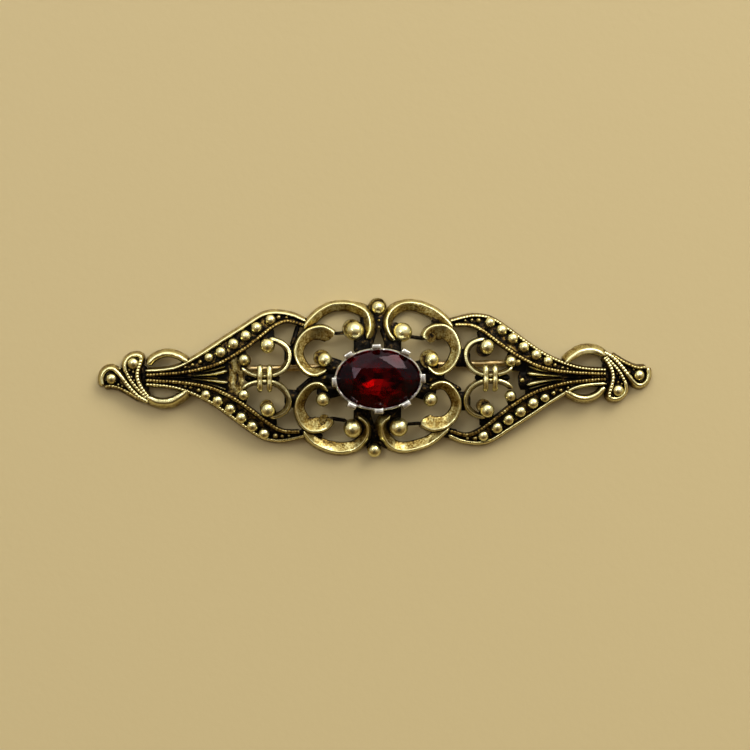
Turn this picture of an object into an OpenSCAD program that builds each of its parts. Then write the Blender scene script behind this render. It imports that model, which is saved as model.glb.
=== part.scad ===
// Victorian-revival bar brooch: one pierced gold-tone casting, domed, with beaded bands, hearts and
// a scrolled centre, an oval red stone in a silver-tone claw setting, and a pin stem on the back.
// Millimetres. X runs along the bar, Y across it, Z up from the surface that it lies on, face up.

/* [Casting] */
// nominal length of the casting over both tips, which scales the whole brooch
bar_length = 64; // [50:1:80]
// height of the casting's back above the surface, at its middle
dome_rise = 2.1; // [1.6:0.05:2.6]
// half length at which the domed back comes down to the surface
dome_reach_x = 31.5; // [28:0.5:34]
// half width at which the domed back comes down to the surface
dome_reach_y = 8.6; // [7:0.1:9]
// height of the scrolls' rims above the back
scroll_height = 1.35; // [1:0.05:1.8]
// height of the bands' thin rims above the back
rim_height = 1.2; // [0.8:0.05:1.6]
// height of the dark floors above the back
floor_height = 0.5; // [0.35:0.05:0.8]
// height of the webs between the pieces above the back
web_height = 0.42; // [0.3:0.02:0.7]
// breadth of a scroll's bright lip
scroll_lip = 0.26; // [0.16:0.02:0.4]
// breadth of a thin rim's top
rim_lip = 0.2; // [0.12:0.02:0.3]
// lean of a scroll's outer wall, foot to lip
wall_draft = 0.24; // [0.1:0.02:0.4]
// lean of the outer wall at the tips' lobes and crescents, foot to lip
tip_draft = 0.3; // [0.1:0.02:0.5]

/* [Stone and setting] */
// half length of the stone's girdle
stone_half_length = 4.85; // [4:0.05:6]
// half width of the stone's girdle
stone_half_width = 3.4; // [3:0.05:4.5]
// height of the girdle's lower edge above the seat
girdle_rise = 1.5; // [1.3:0.02:1.8]
// height of the table above the seat
table_rise = 2.72; // [2.3:0.02:3]
// height of the claws' tops above the seat
claw_rise = 2.22; // [1.9:0.02:2.5]
// breadth of a claw along the rim
claw_breadth = 1.25; // [0.6:0.05:1.4]

/* [Pin] */
// diameter of the pin's wire
wire_d = 0.75; // [0.6:0.05:1]
// height of the pin's pivot above the surface
pivot_z = 0.6; // [0.55:0.01:0.8]
// distance of the pivot from the middle of the bar
pivot_x = -16.4; // [-20:0.1:-12]
// distance of the pivot from the bar's long axis
pivot_y = 1.08; // [0:0.01:2]
// slant of the pin to the bar, degrees
pin_slant = 1.35; // [0:0.05:3]
// length of the pin from its pivot to its point
pin_length = 34.6; // [30:0.1:38]
// diameter of the hinge rivet
rivet_d = 0.5; // [0.4:0.02:0.7]
// radial clearance of the pin's eye on the rivet
eye_clearance = 0.04; // [0.02:0.01:0.08]

/* [Hidden] */
gold = [0.72, 0.60, 0.32];
silver = [0.80, 0.80, 0.78];
ruby = [0.45, 0.02, 0.04];
stretch = bar_length / 64;
// both wings bow this much towards +Y, per length along the bar
bow = 0.0065;
// moves the whole brooch so that its box is centred on the origin
centring = -0.12;
web_foot = 0.08;
seat_top = dome_rise + 0.46;

// Every line below is given for the half at -X, the near one. The far half is the same turned by 180
// degrees, but for the tables that say otherwise.
// Thin rims, columns: x, y. From the tip end towards the middle.
upper_outer_rim = [
    [-26.66, 0.73], [-24.39, 0.88], [-22.69, 1.32], [-20.41, 2.6], [-17.91, 4.25], [-15.51, 5.8],
    [-13.56, 7.08], [-12.42, 7.5], [-11.04, 7.5], [-9.55, 7.18], [-8.3, 6.57]
];
upper_inner_rim = [
    [-26.66, 0.24], [-24.39, 0.38], [-22.12, 0.62], [-19.84, 1.14], [-17.91, 1.82], [-15.51, 3.27],
    [-13.91, 4.5], [-12.42, 5.7], [-11.27, 6.4], [-10.12, 6.6], [-8.4, 6.11]
];
lower_inner_rim = [
    [-26.66, -0.37], [-24.39, -0.47], [-22.12, -0.64], [-19.84, -1.0], [-17.91, -1.68],
    [-15.85, -2.83], [-13.91, -4.21], [-12.19, -5.5], [-10.81, -6.15], [-8.97, -6.2]
];
lower_outer_rim = [
    [-26.66, -0.84], [-24.39, -0.99], [-22.69, -1.32], [-20.87, -1.99], [-19.05, -2.9],
    [-17.22, -4.15], [-15.51, -5.42], [-13.79, -6.63], [-12.42, -7.14], [-10.81, -7.2], [-8.4, -6.64]
];

// Scooped scrolls, columns: x, y of the lip, breadth of the slope inside it.
upper_heart = [
    [-15.62, 1.14, 0.28], [-14.82, 0.56, 0.32], [-13.91, 0.27, 0.36], [-12.76, 0.24, 0.38],
    [-11.73, 0.42, 0.42], [-10.81, 0.95, 0.45], [-10.26, 1.78, 0.45], [-10.12, 2.76, 0.45],
    [-10.45, 3.6, 0.45], [-11.15, 4.18, 0.4], [-12.42, 4.6, 0.28]
];
lower_heart = [
    [-15.56, -1.22, 0.28], [-14.88, -0.72, 0.3], [-13.91, -0.43, 0.35], [-12.76, -0.36, 0.38],
    [-11.84, -0.48, 0.42], [-10.93, -1.0, 0.45], [-10.3, -1.85, 0.45], [-10.13, -2.83, 0.45],
    [-10.45, -3.7, 0.45], [-11.15, -4.25, 0.4], [-12.3, -4.58, 0.28]
];
upper_crescent = [
    [-26.5, 1.35, 0.5], [-26.1, 1.9, 0.5], [-25.5, 2.36, 0.5], [-24.5, 2.7, 0.5],
    [-23.5, 2.64, 0.5], [-22.6, 2.27, 0.48], [-21.8, 1.75, 0.4]
];
lower_crescent = [
    [-26.55, -2.4, 0.45], [-25.95, -2.9, 0.55], [-25.2, -3.14, 0.62], [-24.3, -3.17, 0.65],
    [-23.5, -2.97, 0.65], [-22.8, -2.56, 0.6], [-22.2, -2.1, 0.5], [-21.8, -1.6, 0.4]
];
near_upper_arch = [
    [-8.55, 5.92, 0.8], [-7.98, 6.86, 0.82], [-6.9, 7.95, 0.82], [-5.38, 8.62, 0.82], [-3.72, 8.66, 0.82],
    [-2.31, 8.2, 0.82], [-1.4, 7.5, 0.8], [-0.95, 6.39, 0.75], [-0.97, 5.45, 0.6], [-1.35, 4.76, 0.45]
];
far_upper_arch = [
    [-8.35, 5.76, 0.8], [-7.24, 6.79, 0.9], [-6.09, 7.62, 0.95], [-4.72, 8.13, 1.0], [-3.3, 8.42, 1.0],
    [-2.1, 8.21, 0.95], [-1.23, 7.52, 0.9], [-0.65, 6.49, 0.75], [-0.51, 5.52, 0.6], [-0.86, 4.82, 0.45],
    [-1.5, 4.35, 0.35]
];
near_lower_arch = [
    [-8.56, -6.16, 0.75], [-7.79, -7.16, 0.9], [-6.84, -7.84, 1.0], [-5.6, -8.35, 1.1], [-4.29, -8.55, 1.1],
    [-2.92, -8.35, 1.05], [-1.99, -7.79, 0.9], [-1.33, -6.96, 0.8], [-1.1, -6.04, 0.65],
    [-1.29, -5.25, 0.5], [-1.76, -4.71, 0.4], [-2.31, -4.38, 0.35]
];
far_lower_arch = [
    [-8.75, -5.85, 0.8], [-8.03, -6.76, 0.9], [-7.03, -7.66, 0.95], [-5.88, -8.29, 0.95],
    [-4.72, -8.66, 0.9], [-3.52, -8.76, 0.85], [-2.45, -8.49, 0.85], [-1.6, -7.85, 0.85],
    [-1.11, -6.95, 0.75], [-1.1, -6.02, 0.6], [-1.41, -5.15, 0.45], [-2.0, -4.5, 0.35]
];
upper_side = [
    [-5.25, 3.88, 0.42], [-4.86, 4.25, 0.62], [-4.82, 4.85, 0.95], [-5.15, 5.4, 1.25], [-5.75, 5.8, 1.5],
    [-6.6, 5.98, 1.55], [-8.02, 5.6, 1.3], [-9.1, 4.5, 1.1], [-9.52, 3.11, 0.95], [-9.2, 1.82, 0.95],
    [-8.24, 0.68, 0.85], [-7.13, 0.42, 0.8], [-5.9, 0.95, 0.7]
];
lower_side = [
    [-5.8, -3.98, 0.45], [-5.4, -4.35, 0.65], [-5.32, -4.95, 1.0], [-5.6, -5.55, 1.35], [-6.2, -5.98, 1.6],
    [-7.0, -6.15, 1.65], [-7.95, -6.05, 1.55], [-8.95, -5.15, 1.3], [-9.45, -3.41, 1.0], [-8.9, -1.8, 0.9],
    [-7.8, -0.73, 0.75], [-6.67, -0.58, 0.65], [-5.72, -1.39, 0.45]
];

// Tip ridges, columns: x, y.
first_lobe = [
    [-31.6, -1.02], [-31.74, -0.3], [-31.52, 0.48], [-31.0, 0.92], [-30.42, 0.9], [-29.92, 0.5],
    [-29.42, -0.09], [-28.8, -0.92], [-28.1, -1.72], [-27.4, -2.36], [-26.4, -2.9]
];
second_lobe = [
    [-28.95, 0.55], [-29.08, 1.3], [-28.87, 1.95], [-28.4, 2.38], [-27.8, 2.54], [-27.25, 2.46],
    [-27.05, 2.1], [-27.18, 1.5], [-27.42, 0.7], [-27.5, 0.0], [-27.36, -0.8], [-26.98, -1.6],
    [-26.4, -2.35]
];
middle_ridge = [[-29.0, 0.75], [-28.75, 0.25], [-28.4, -0.4], [-27.9, -1.05], [-27.35, -1.65], [-26.6, -2.4]];
tip_hem = [[-31.42, -1.14], [-30.7, -1.06], [-29.95, -1.2], [-29.13, -1.56], [-28.43, -1.94], [-27.4, -2.6]];

// Beads, columns: x, y, radius.
beads = [
    [-19.41, 2.31, 0.5], [-18.04, 2.92, 0.64], [-16.6, 3.88, 0.64], [-15.21, 4.8, 0.64],
    [-13.92, 5.75, 0.64], [-12.34, 6.68, 0.6], [-19.75, -1.93, 0.55], [-18.39, -2.64, 0.62],
    [-16.97, -3.55, 0.62], [-15.69, -4.54, 0.64], [-14.44, -5.54, 0.64], [-13.08, -6.41, 0.6],
    [-15.39, 2.07, 0.64], [-15.43, -1.92, 0.62], [-30.62, -0.2, 0.6], [-28.11, 1.56, 0.66],
    [-12.68, 3.73, 0.84], [-12.65, -3.63, 0.84]
];
near_beads = [[-6.11, 2.18, 0.8], [-6.33, -2.41, 0.8], [-2.82, 5.69, 1.08], [-2.87, -5.74, 1.06], [0.12, 8.19, 0.78]];
far_beads = [[-6.09, 2.41, 0.8], [-6.23, -2.19, 0.8], [-2.48, 5.6, 1.06], [-2.81, -5.44, 1.08], [0.31, 8.31, 0.81]];

// Collars under beads, columns: x, y, radius. They are in place, on the half where they lie.
collars = [[0.06, 8.27, 1.1], [-2.9, 5.75, 1.18], [-6.45, 2.4, 1.0], [5.94, 2.3, 1.12]];

// Webs between the pieces of the openwork, columns: x1, y1, x2, y2, breadth.
webs = [
    [-10.1, 2.65, -9.49, 2.64, 2.2], [-10.1, -2.35, -9.51, -2.37, 2.1], [-15.1, -0.04, -11.49, -0.06, 0.75],
    [-12.75, 5.2, -12.66, 3.81, 1.7], [-12.39, -5.2, -12.51, -3.8, 1.6], [-15.8, 3.0, -15.4, 2.1, 1.2],
    [-15.69, -2.7, -15.45, -1.9, 1.2], [-9.0, 6.51, -7.5, 6.2, 1.2], [-8.8, -6.37, -6.6, -6.75, 0.95],
    [-7.3, -0.07, -4.9, -0.08, 1.35], [-6.12, 1.75, -4.7, 1.29, 1.9], [-6.5, -1.78, -4.69, -1.28, 1.6],
    [-1.76, 5.7, -1.75, 3.5, 2.0], [-1.77, -5.92, -1.75, -3.5, 2.0], [0.21, 7.7, 0.18, 6.3, 1.4],
    [-0.32, 5.65, -0.81, 4.09, 0.7], [0.62, 5.65, 1.12, 4.1, 0.7],
    [-30.6, -0.31, -30.4, -0.51, 1.8], [-28.18, 1.18, -28.31, -0.5, 1.6], [-27.0, 1.1, -26.71, -1.5, 0.9]
];
near_webs = [[-9.15, 6.03, -9.86, 3.88, 0.55], [-7.69, -0.07, -9.22, -1.38, 0.55]];
far_webs = [[-7.54, 0.21, -9.49, 1.3, 0.6], [-17.39, 0.28, -17.0, 0.3, 2.2]];

// Tie bars that stand over the openwork, columns: x1, y1, x2, y2, breadth, height.
ties = [
    [-13.55, 1.1, -13.55, -1.12, 0.62, 1.5], [-12.46, 1.1, -12.46, -1.12, 0.62, 1.5],
    [-4.95, 5.18, -3.49, 5.3, 0.4, 0.9], [-5.4, -4.6, -3.7, -4.85, 0.45, 0.9]
];

// Palmette leaves, columns: x1, y1, breadth at the root, x2, y2, breadth at the end.
leaves = [
    [-21.5, 0.1, 0.24, -17.4, -0.1, 0.2], [-20.0, 0.3, 0.16, -17.5, 0.8, 0.42],
    [-20.0, -0.32, 0.16, -17.5, -0.6, 0.38]
];

// Claws, columns: angle round the setting, distance from its middle.
claws = [
    [0.9, 5.13], [44.7, 4.41], [93.9, 3.76], [141.5, 4.45], [183.5, 5.12], [225, 4.36],
    [270.5, 3.71], [317.4, 4.34]
];

// Rings of the setting, columns: half length, half width, height above the seat. Up the outside,
// down the inside.
setting_rings = [
    [4.72, 3.27, 0.02], [5.1, 3.65, 0.7], [5.12, 3.67, 1.53], [4.93, 3.48, 1.9],
    [4.74, 3.29, 1.88], [4.78, 3.33, 1.73], [4.9, 3.45, 1.64], [4.9, 3.45, 1.38],
    [4.35, 2.9, 1.04], [4.3, 2.85, 0.02]
];

// Height of the domed back above the surface, never below it.
function back(x, y) = max(0, dome_rise * (1 - pow(x / dome_reach_x, 2) - pow(y / dome_reach_y, 2)));

function knot(t, i) = t[max(0, min(len(t) - 1, i))];
function smooth(a, b, c, d, u) =
    0.5 * (2 * b + (c - a) * u + (2 * a - 5 * b + 4 * c - d) * u * u + (3 * b - a - 3 * c + d) * u * u * u);
function at(t, s) = let (i = min(len(t) - 2, floor(s)), u = s - i)
    smooth(knot(t, i - 1), knot(t, i), knot(t, i + 1), knot(t, i + 2), u);

// A smooth line through a table's rows, in count steps, from a share of its length to another.
function line(t, count, from = 0, to = 1) =
    [for (k = [0:count]) at(t, (from + (to - from) * k / count) * (len(t) - 1))];

// Unit vector to the left of the line at station i.
function left(p, i) = let (a = knot(p, i - 1), b = knot(p, i + 1), d = [b[0] - a[0], b[1] - a[1]])
    [-d[1], d[0]] / norm(d);

// A point at a height above the domed back.
function raised(x, y, h) = [x, y, back(x, y) + h];

// Side faces of a tube of rings of n points, with both ends closed.
function tube_faces(rings, n) = concat(
    [for (i = [0:rings - 2], j = [0:n - 1])
        let (k = (j + 1) % n) [i * n + j, i * n + k, (i + 1) * n + k, (i + 1) * n + j]],
    [[for (j = [n - 1:-1:0]) j]],
    [[for (j = [0:n - 1]) (rings - 1) * n + j]]
);
function flipped(faces) = [for (f = faces) [for (k = [len(f) - 1:-1:0]) f[k]]];

// A wall along a line. The section is a list of offset to the inside and height, from the outer
// foot over the lip to the inner foot. A station's third column may widen the section.
module wall(p, side, section) {
    n = len(section(0));
    points = [for (i = [0:len(p) - 1]) let (s = section(p[i][2]), v = side * left(p, i))
        for (q = s) raised(p[i][0] + v[0] * q[0], p[i][1] + v[1] * q[0], q[1])];
    faces = tube_faces(len(p), n);
    polyhedron(points, side > 0 ? faces : flipped(faces), convexity = 6);
}

function scoop_section(w, draft) = [
    [-scroll_lip / 2 - draft, 0], [-scroll_lip / 2, scroll_height], [scroll_lip / 2, scroll_height],
    [max(w, scroll_lip), floor_height], [max(w, scroll_lip) + 0.06, 0]
];
function rim_section(draft) = [
    [-rim_lip / 2 - draft, 0], [-rim_lip / 2, rim_height], [rim_lip / 2, rim_height], [rim_lip / 2 + 0.14, 0]
];

// A scroll with a bright lip on its outside and a hollow slope within.
module scroll(t, side, steps, draft = wall_draft) {
    wall(line(t, steps), side, function(w) scoop_section(w, draft));
}

// A thin upright rim.
module rim(t, side, steps, draft = 0.14) {
    wall(line(t, steps), side, function(w) rim_section(draft));
}

// A low floor between two lines of the same number of stations, a on the left of b.
module floor_between(a, b) {
    points = [for (i = [0:len(a) - 1]) each [
        raised(a[i][0], a[i][1], web_foot), raised(a[i][0], a[i][1], floor_height),
        raised(b[i][0], b[i][1], floor_height), raised(b[i][0], b[i][1], web_foot)
    ]];
    polyhedron(points, flipped(tube_faces(len(a), 4)), convexity = 4);
}

// Section of a band across two lines: share of the way from a to b, offset and height.
channel_section = [
    [0, -rim_lip / 2 - 0.14, 0], [0, -rim_lip / 2, rim_height], [0, rim_lip / 2, rim_height],
    [0, rim_lip / 2 + 0.05, floor_height], [1, -rim_lip / 2 - 0.05, floor_height],
    [1, -rim_lip / 2, rim_height], [1, rim_lip / 2, rim_height], [1, rim_lip / 2 + 0.14, 0]
];

// A band: two thin rims with a floor between, from line a on the left to line b on the right.
module channel(a, b) {
    points = [for (i = [0:len(a) - 1]) let (d = [b[i][0] - a[i][0], b[i][1] - a[i][1]], u = d / norm(d))
        for (q = channel_section)
            raised(a[i][0] + q[0] * d[0] + q[1] * u[0], a[i][1] + q[0] * d[1] + q[1] * u[1], q[2])];
    polyhedron(points, flipped(tube_faces(len(a), 8)), convexity = 8);
}

// A flat disc over the domed back, between two heights above it.
module disc(x, y, r, low, high, sides) {
    translate([x, y, back(x, y) + low])
        rotate([0, 0, 180 / sides])
            cylinder(r = r, h = high - low, $fn = sides);
}

// A round bead on its drum.
module bead(x, y, r) {
    sides = r > 0.9 ? 12 : 10;
    middle = scroll_height - 0.5 * r;
    hull() {
        disc(x, y, r, 0.2, middle, sides);
        disc(x, y, 0.8 * r, middle, middle + 0.5 * r, sides);
        if (r > 0.9) disc(x, y, 0.4 * r, middle, middle + 0.8 * r, sides);
    }
}

// A bar with round ends, of a breadth at each end.
module bar(x1, y1, b1, x2, y2, b2, low, high, sides) {
    hull() {
        disc(x1, y1, b1 / 2, low, high, sides);
        disc(x2, y2, b2 / 2, low, high, sides);
    }
}

// A plain plate from one point to another, a little longer than the way between them.
module web(x1, y1, x2, y2, breadth) {
    d = [x2 - x1, y2 - y1] / norm([x2 - x1, y2 - y1]);
    e = 0.3 * breadth;
    corners = [for (q = [[x1, y1, -e, 1], [x2, y2, e, 1], [x2, y2, e, -1], [x1, y1, -e, -1]])
        [q[0] + q[2] * d[0] - q[3] * d[1] * breadth / 2, q[1] + q[2] * d[1] + q[3] * d[0] * breadth / 2]];
    polyhedron(
        [for (h = [web_foot, web_height], c = corners) raised(c[0], c[1], h)],
        [[3, 2, 1, 0], [4, 5, 6, 7], [0, 1, 5, 4], [1, 2, 6, 5], [2, 3, 7, 6], [3, 0, 4, 7]]
    );
}

module wing() {
    channel(line(upper_outer_rim, 10), line(upper_inner_rim, 10));
    channel(line(lower_inner_rim, 10), line(lower_outer_rim, 10));
    floor_between(line(upper_inner_rim, 4, 0, 0.43), line(lower_inner_rim, 4, 0, 0.48));
    scroll(upper_heart, 1, 10);
    scroll(lower_heart, -1, 10);
    rim(first_lobe, -1, 9, tip_draft);
    rim(second_lobe, -1, 10, tip_draft);
    rim(middle_ridge, 1, 3);
    translate([0, 0, 0.04])
        rim(tip_hem, 1, 4);
    floor_between(line(second_lobe, 3, 0.62, 0.94), line(first_lobe, 3, 0.5, 0.94));
    for (l = leaves) bar(l[0], l[1], l[2], l[3], l[4], l[5], web_foot + 0.05, rim_height, 4);
}

module crescents() {
    scroll(upper_crescent, -1, 7, tip_draft);
    scroll(lower_crescent, 1, 7, tip_draft);
}

module scrolls(far) {
    scroll(far ? far_upper_arch : near_upper_arch, -1, 11);
    scroll(far ? far_lower_arch : near_lower_arch, 1, 11);
    scroll(upper_side, 1, 13);
    scroll(lower_side, -1, 13);
}

module half(far) {
    wing();
    scrolls(far);
    for (b = concat(beads, far ? far_beads : near_beads)) bead(b[0], b[1], b[2]);
    for (w = concat(webs, far ? far_webs : near_webs)) web(w[0], w[1], w[2], w[3], w[4]);
    for (t = ties) bar(t[0], t[1], t[4], t[2], t[3], t[4], web_foot + 0.05, t[5], 6);
}

// Puts a half in its place: the far one is turned, and both bow towards +Y.
module placed(far) {
    multmatrix([[1, 0, 0, 0], [far ? bow : -bow, 1, 0, 0], [0, 0, 1, 0], [0, 0, 0, 1]])
        rotate([0, 0, far ? 180 : 0])
            children();
}

module oval_prism(half_length, half_width, z1, z2, sides) {
    translate([0, 0, z1])
        linear_extrude(z2 - z1)
            polygon([for (k = [0:sides - 1]) [half_length * cos(360 * k / sides), half_width * sin(360 * k / sides)]]);
}

// The casting's oval seat, open in the middle for the point of the stone.
module seat() {
    difference() {
        oval_prism(4.85, 3.5, dome_rise - 0.37, seat_top, 20);
        oval_prism(2.9, 2.0, 1, 4, 12);
    }
}

// Places a shape in the frame of the pin, with the pivot at the origin and the pin along X.
module on_pin() {
    translate([pivot_x, pivot_y, 0])
        rotate([0, 0, pin_slant])
            children();
}

// Height of the small plates that the joint and the catch are soldered on by.
plate_z = back(pivot_x, pivot_y) - 0.12;

// Soldered joint: two ears under a plate, with the rivet's hole across them.
module joint_ears() {
    translate([0, 0, plate_z + 0.16])
        linear_extrude(0.18)
            polygon([[-17.25, 2.35], [-15.84, 2.35], [-15.4, 0.43], [-15.5, -0.72], [-16.2, -2.0], [-17.25, -1.9]]);
    on_pin()
        difference() {
            union() {
                translate([-2.3, -1.0, plate_z])
                    cube([2.8, 2.0, 0.36]);
                for (y = [-0.91, 0.46]) hull() {
                    translate([-0.9, y, plate_z])
                        cube([1.4, 0.45, 0.3]);
                    translate([0, y, pivot_z])
                        rotate([-90, 0, 0])
                            cylinder(r = 0.5, h = 0.45, $fn = 12);
                }
            }
            translate([0, -2, pivot_z])
                rotate([-90, 0, 0])
                    cylinder(r = rivet_d / 2 + 0.025, h = 4, $fn = 16);
        }
}

// Soldered catch: a plain saddle that the pin's end lies in, open the way that the pin swings.
module catch_saddle() {
    on_pin()
        translate([32.8, 0, 0])
            difference() {
                union() {
                    translate([-0.9, -1.0, plate_z])
                        cube([3.2, 2.0, 0.36]);
                    translate([-0.45, -0.85, 0.35])
                        cube([0.9, 1.7, plate_z - 0.2]);
                    translate([-0.45, -0.72, 0.12])
                        cube([0.9, 1.44, 0.3]);
                }
                translate([-1, -0.45, -0.2])
                    cube([2, 0.9, 1.35]);
            }
}

// Scales the brooch and centres its box.
module sized() {
    scale(stretch)
        translate([0, centring, 0])
            children();
}

module openwork_frame() {
    color(gold)
        sized() {
            for (far = [false, true]) {
                placed(far) half(far);
                translate([0, 0.13, 0])
                    placed(far)
                        crescents();
            }
            for (c = collars) disc(c[0], c[1], c[2], 0.2, 1, 10);
            seat();
            joint_ears();
            catch_saddle();
        }
}

module stone_setting() {
    sides = 32;
    rings = len(setting_rings);
    points = [for (s = setting_rings, k = [0:sides - 1])
        [s[0] * cos(360 * k / sides), s[1] * sin(360 * k / sides), seat_top + s[2]]];
    faces = [for (i = [0:rings - 1], k = [0:sides - 1]) let (j = (i + 1) % rings, n = (k + 1) % sides)
        [i * sides + k, j * sides + k, j * sides + n, i * sides + n]];
    color(silver)
        sized() {
            polyhedron(points, faces, convexity = 6);
            for (c = claws) claw(c[0], c[1]);
        }
}

// A claw: a flat post outside the rim, with its top bent a little over the stone.
module claw(angle, distance) {
    x = distance * cos(angle);
    y = distance * sin(angle);
    facing = atan2(y / pow(3.6, 2), x / pow(5.05, 2));
    translate([x, y, seat_top])
        rotate([0, 0, facing])
            hull() {
                translate([-0.22, -claw_breadth / 2, 0.9])
                    cube([0.56, claw_breadth, 1.0]);
                translate([-0.34, -claw_breadth * 0.46, claw_rise - 0.16])
                    cube([0.58, claw_breadth * 0.92, 0.16]);
            }
}

// An oval mixed cut: a long six-sided table, star and girdle facets, and a pavilion to a keel.
module stone() {
    even = function(count, share) [for (k = [0:count - 1]) [360 * k / count, share]];
    color(ruby)
        sized()
            hull() {
                facet_ring([[0, 0.6], [43, 0.57], [137, 0.57], [180, 0.6], [223, 0.57], [317, 0.57]], table_rise);
                facet_ring([[31, 0.76], [90, 0.76], [149, 0.76], [211, 0.76], [270, 0.76], [329, 0.76]], table_rise - 0.3);
                facet_ring(even(16, 1), girdle_rise + 0.1);
                facet_ring(even(16, 1), girdle_rise);
                facet_ring(even(8, 0.62), girdle_rise - 1.0);
                facet_ring(even(8, 0.14), -0.75);
            }
}

// A thin plate round the oval, from rows of angle and share of the girdle's size, at a height over the seat.
module facet_ring(rows, z) {
    n = len(rows);
    points = [for (r = rows, d = [0, 0.01])
        [r[1] * stone_half_length * cos(r[0]), r[1] * stone_half_width * sin(r[0]), seat_top + z - d]];
    polyhedron(points, concat(
        [[for (k = [n - 1:-1:0]) 2 * k]],
        [[for (k = [0:n - 1]) 2 * k + 1]],
        [for (k = [0:n - 1]) let (j = (k + 1) % n) [2 * k, 2 * j, 2 * j + 1, 2 * k + 1]]
    ));
}

module hinge_rivet() {
    color(gold)
        sized()
            on_pin()
                translate([0, 0, pivot_z])
                    rotate([-90, 0, 0]) {
                        translate([0, 0, -0.92])
                            cylinder(d = rivet_d, h = 1.84);
                        for (z = [-1.02, 0.92]) translate([0, 0, z])
                            cylinder(d = rivet_d + 0.2, h = 0.1);
                    }
}

module pin_stem() {
    color(gold)
        sized()
            on_pin()
                translate([0, 0, pivot_z])
                    difference() {
                        union() {
                            translate([0, 0.4, 0])
                                rotate([90, 0, 0])
                                    cylinder(r = rivet_d / 2 + eye_clearance + 0.22, h = 0.8);
                            rotate([0, 90, 0])
                                cylinder(d = wire_d, h = pin_length - 4);
                            translate([pin_length - 4, 0, 0])
                                rotate([0, 90, 0])
                                    cylinder(r1 = wire_d / 2, r2 = 0.08, h = 4);
                        }
                        translate([0, 1, 0])
                            rotate([90, 0, 0])
                                cylinder(r = rivet_d / 2 + eye_clearance, h = 2);
                    }
}

openwork_frame();
stone_setting();
stone();
hinge_rivet();
pin_stem();
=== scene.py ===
"""Bar brooch with an oval red stone: the looks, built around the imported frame.

The casting is swept along the same lines as the frame's, with finer sections, milgrained rims and
round beads, and is fused into one body. Lengths in the tables are millimetres, with +X along the bar,
+Y across it and +Z up from the surface that the brooch lies on. Meshes are in metres.
"""

import logging
import math
from dataclasses import dataclass, field, replace
from enum import Enum
from functools import partial
from typing import Any, Callable, Iterable, Sequence

import bmesh
import bpy
from mathutils import Matrix, Vector, noise
from mathutils.bvhtree import BVHTree


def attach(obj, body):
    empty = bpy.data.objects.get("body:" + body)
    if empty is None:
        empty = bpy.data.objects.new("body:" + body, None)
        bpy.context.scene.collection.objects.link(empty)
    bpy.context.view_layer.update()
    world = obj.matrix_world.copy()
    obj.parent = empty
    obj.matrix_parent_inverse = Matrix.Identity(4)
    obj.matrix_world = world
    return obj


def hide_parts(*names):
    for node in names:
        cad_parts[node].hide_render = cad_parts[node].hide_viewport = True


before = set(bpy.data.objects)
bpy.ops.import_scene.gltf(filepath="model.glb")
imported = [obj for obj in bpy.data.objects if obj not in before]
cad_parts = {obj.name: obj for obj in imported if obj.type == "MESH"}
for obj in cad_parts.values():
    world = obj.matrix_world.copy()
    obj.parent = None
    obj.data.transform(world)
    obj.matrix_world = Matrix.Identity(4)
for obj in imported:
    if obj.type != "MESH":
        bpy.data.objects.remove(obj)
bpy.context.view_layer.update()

LOG = logging.getLogger("brooch")
MM = 0.001
BROOCH = "brooch"

WEAR = "wear"
RELIEF = "relief"
# Heights over the casting's back that several lines share.
SCROLL_HEIGHT = 1.35
RIM_HEIGHT = 1.2
# Share of a line's length at which its flare starts to change, and over which it does.
FLARE_FROM = 0.58
FLARE_OVER = 0.2

Row = tuple[float, ...]
Rows = tuple[Row, ...]
# A corner of a section: offset to the inside, height over the back, and wear from 0 to 1.
Corner = tuple[float, float, float]
Build = Callable[[bmesh.types.BMesh], None]


class Half(Enum):
    """Which half of the casting a piece is on, or that it is given in place."""

    NEAR = "as tabled, at -X"
    FAR = "turned by half a turn"
    FIXED = "in place"


class Section(Enum):
    """What a line of the casting looks like, cut across."""

    SCOOP = "bright lip with a hollow slope inside it"
    ROLL = "broad rounded band with a flared wall outside it"
    RIM = "thin upright rim"
    PETAL = "rounded ridge"
    WEB = "low half-round bar"


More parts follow.
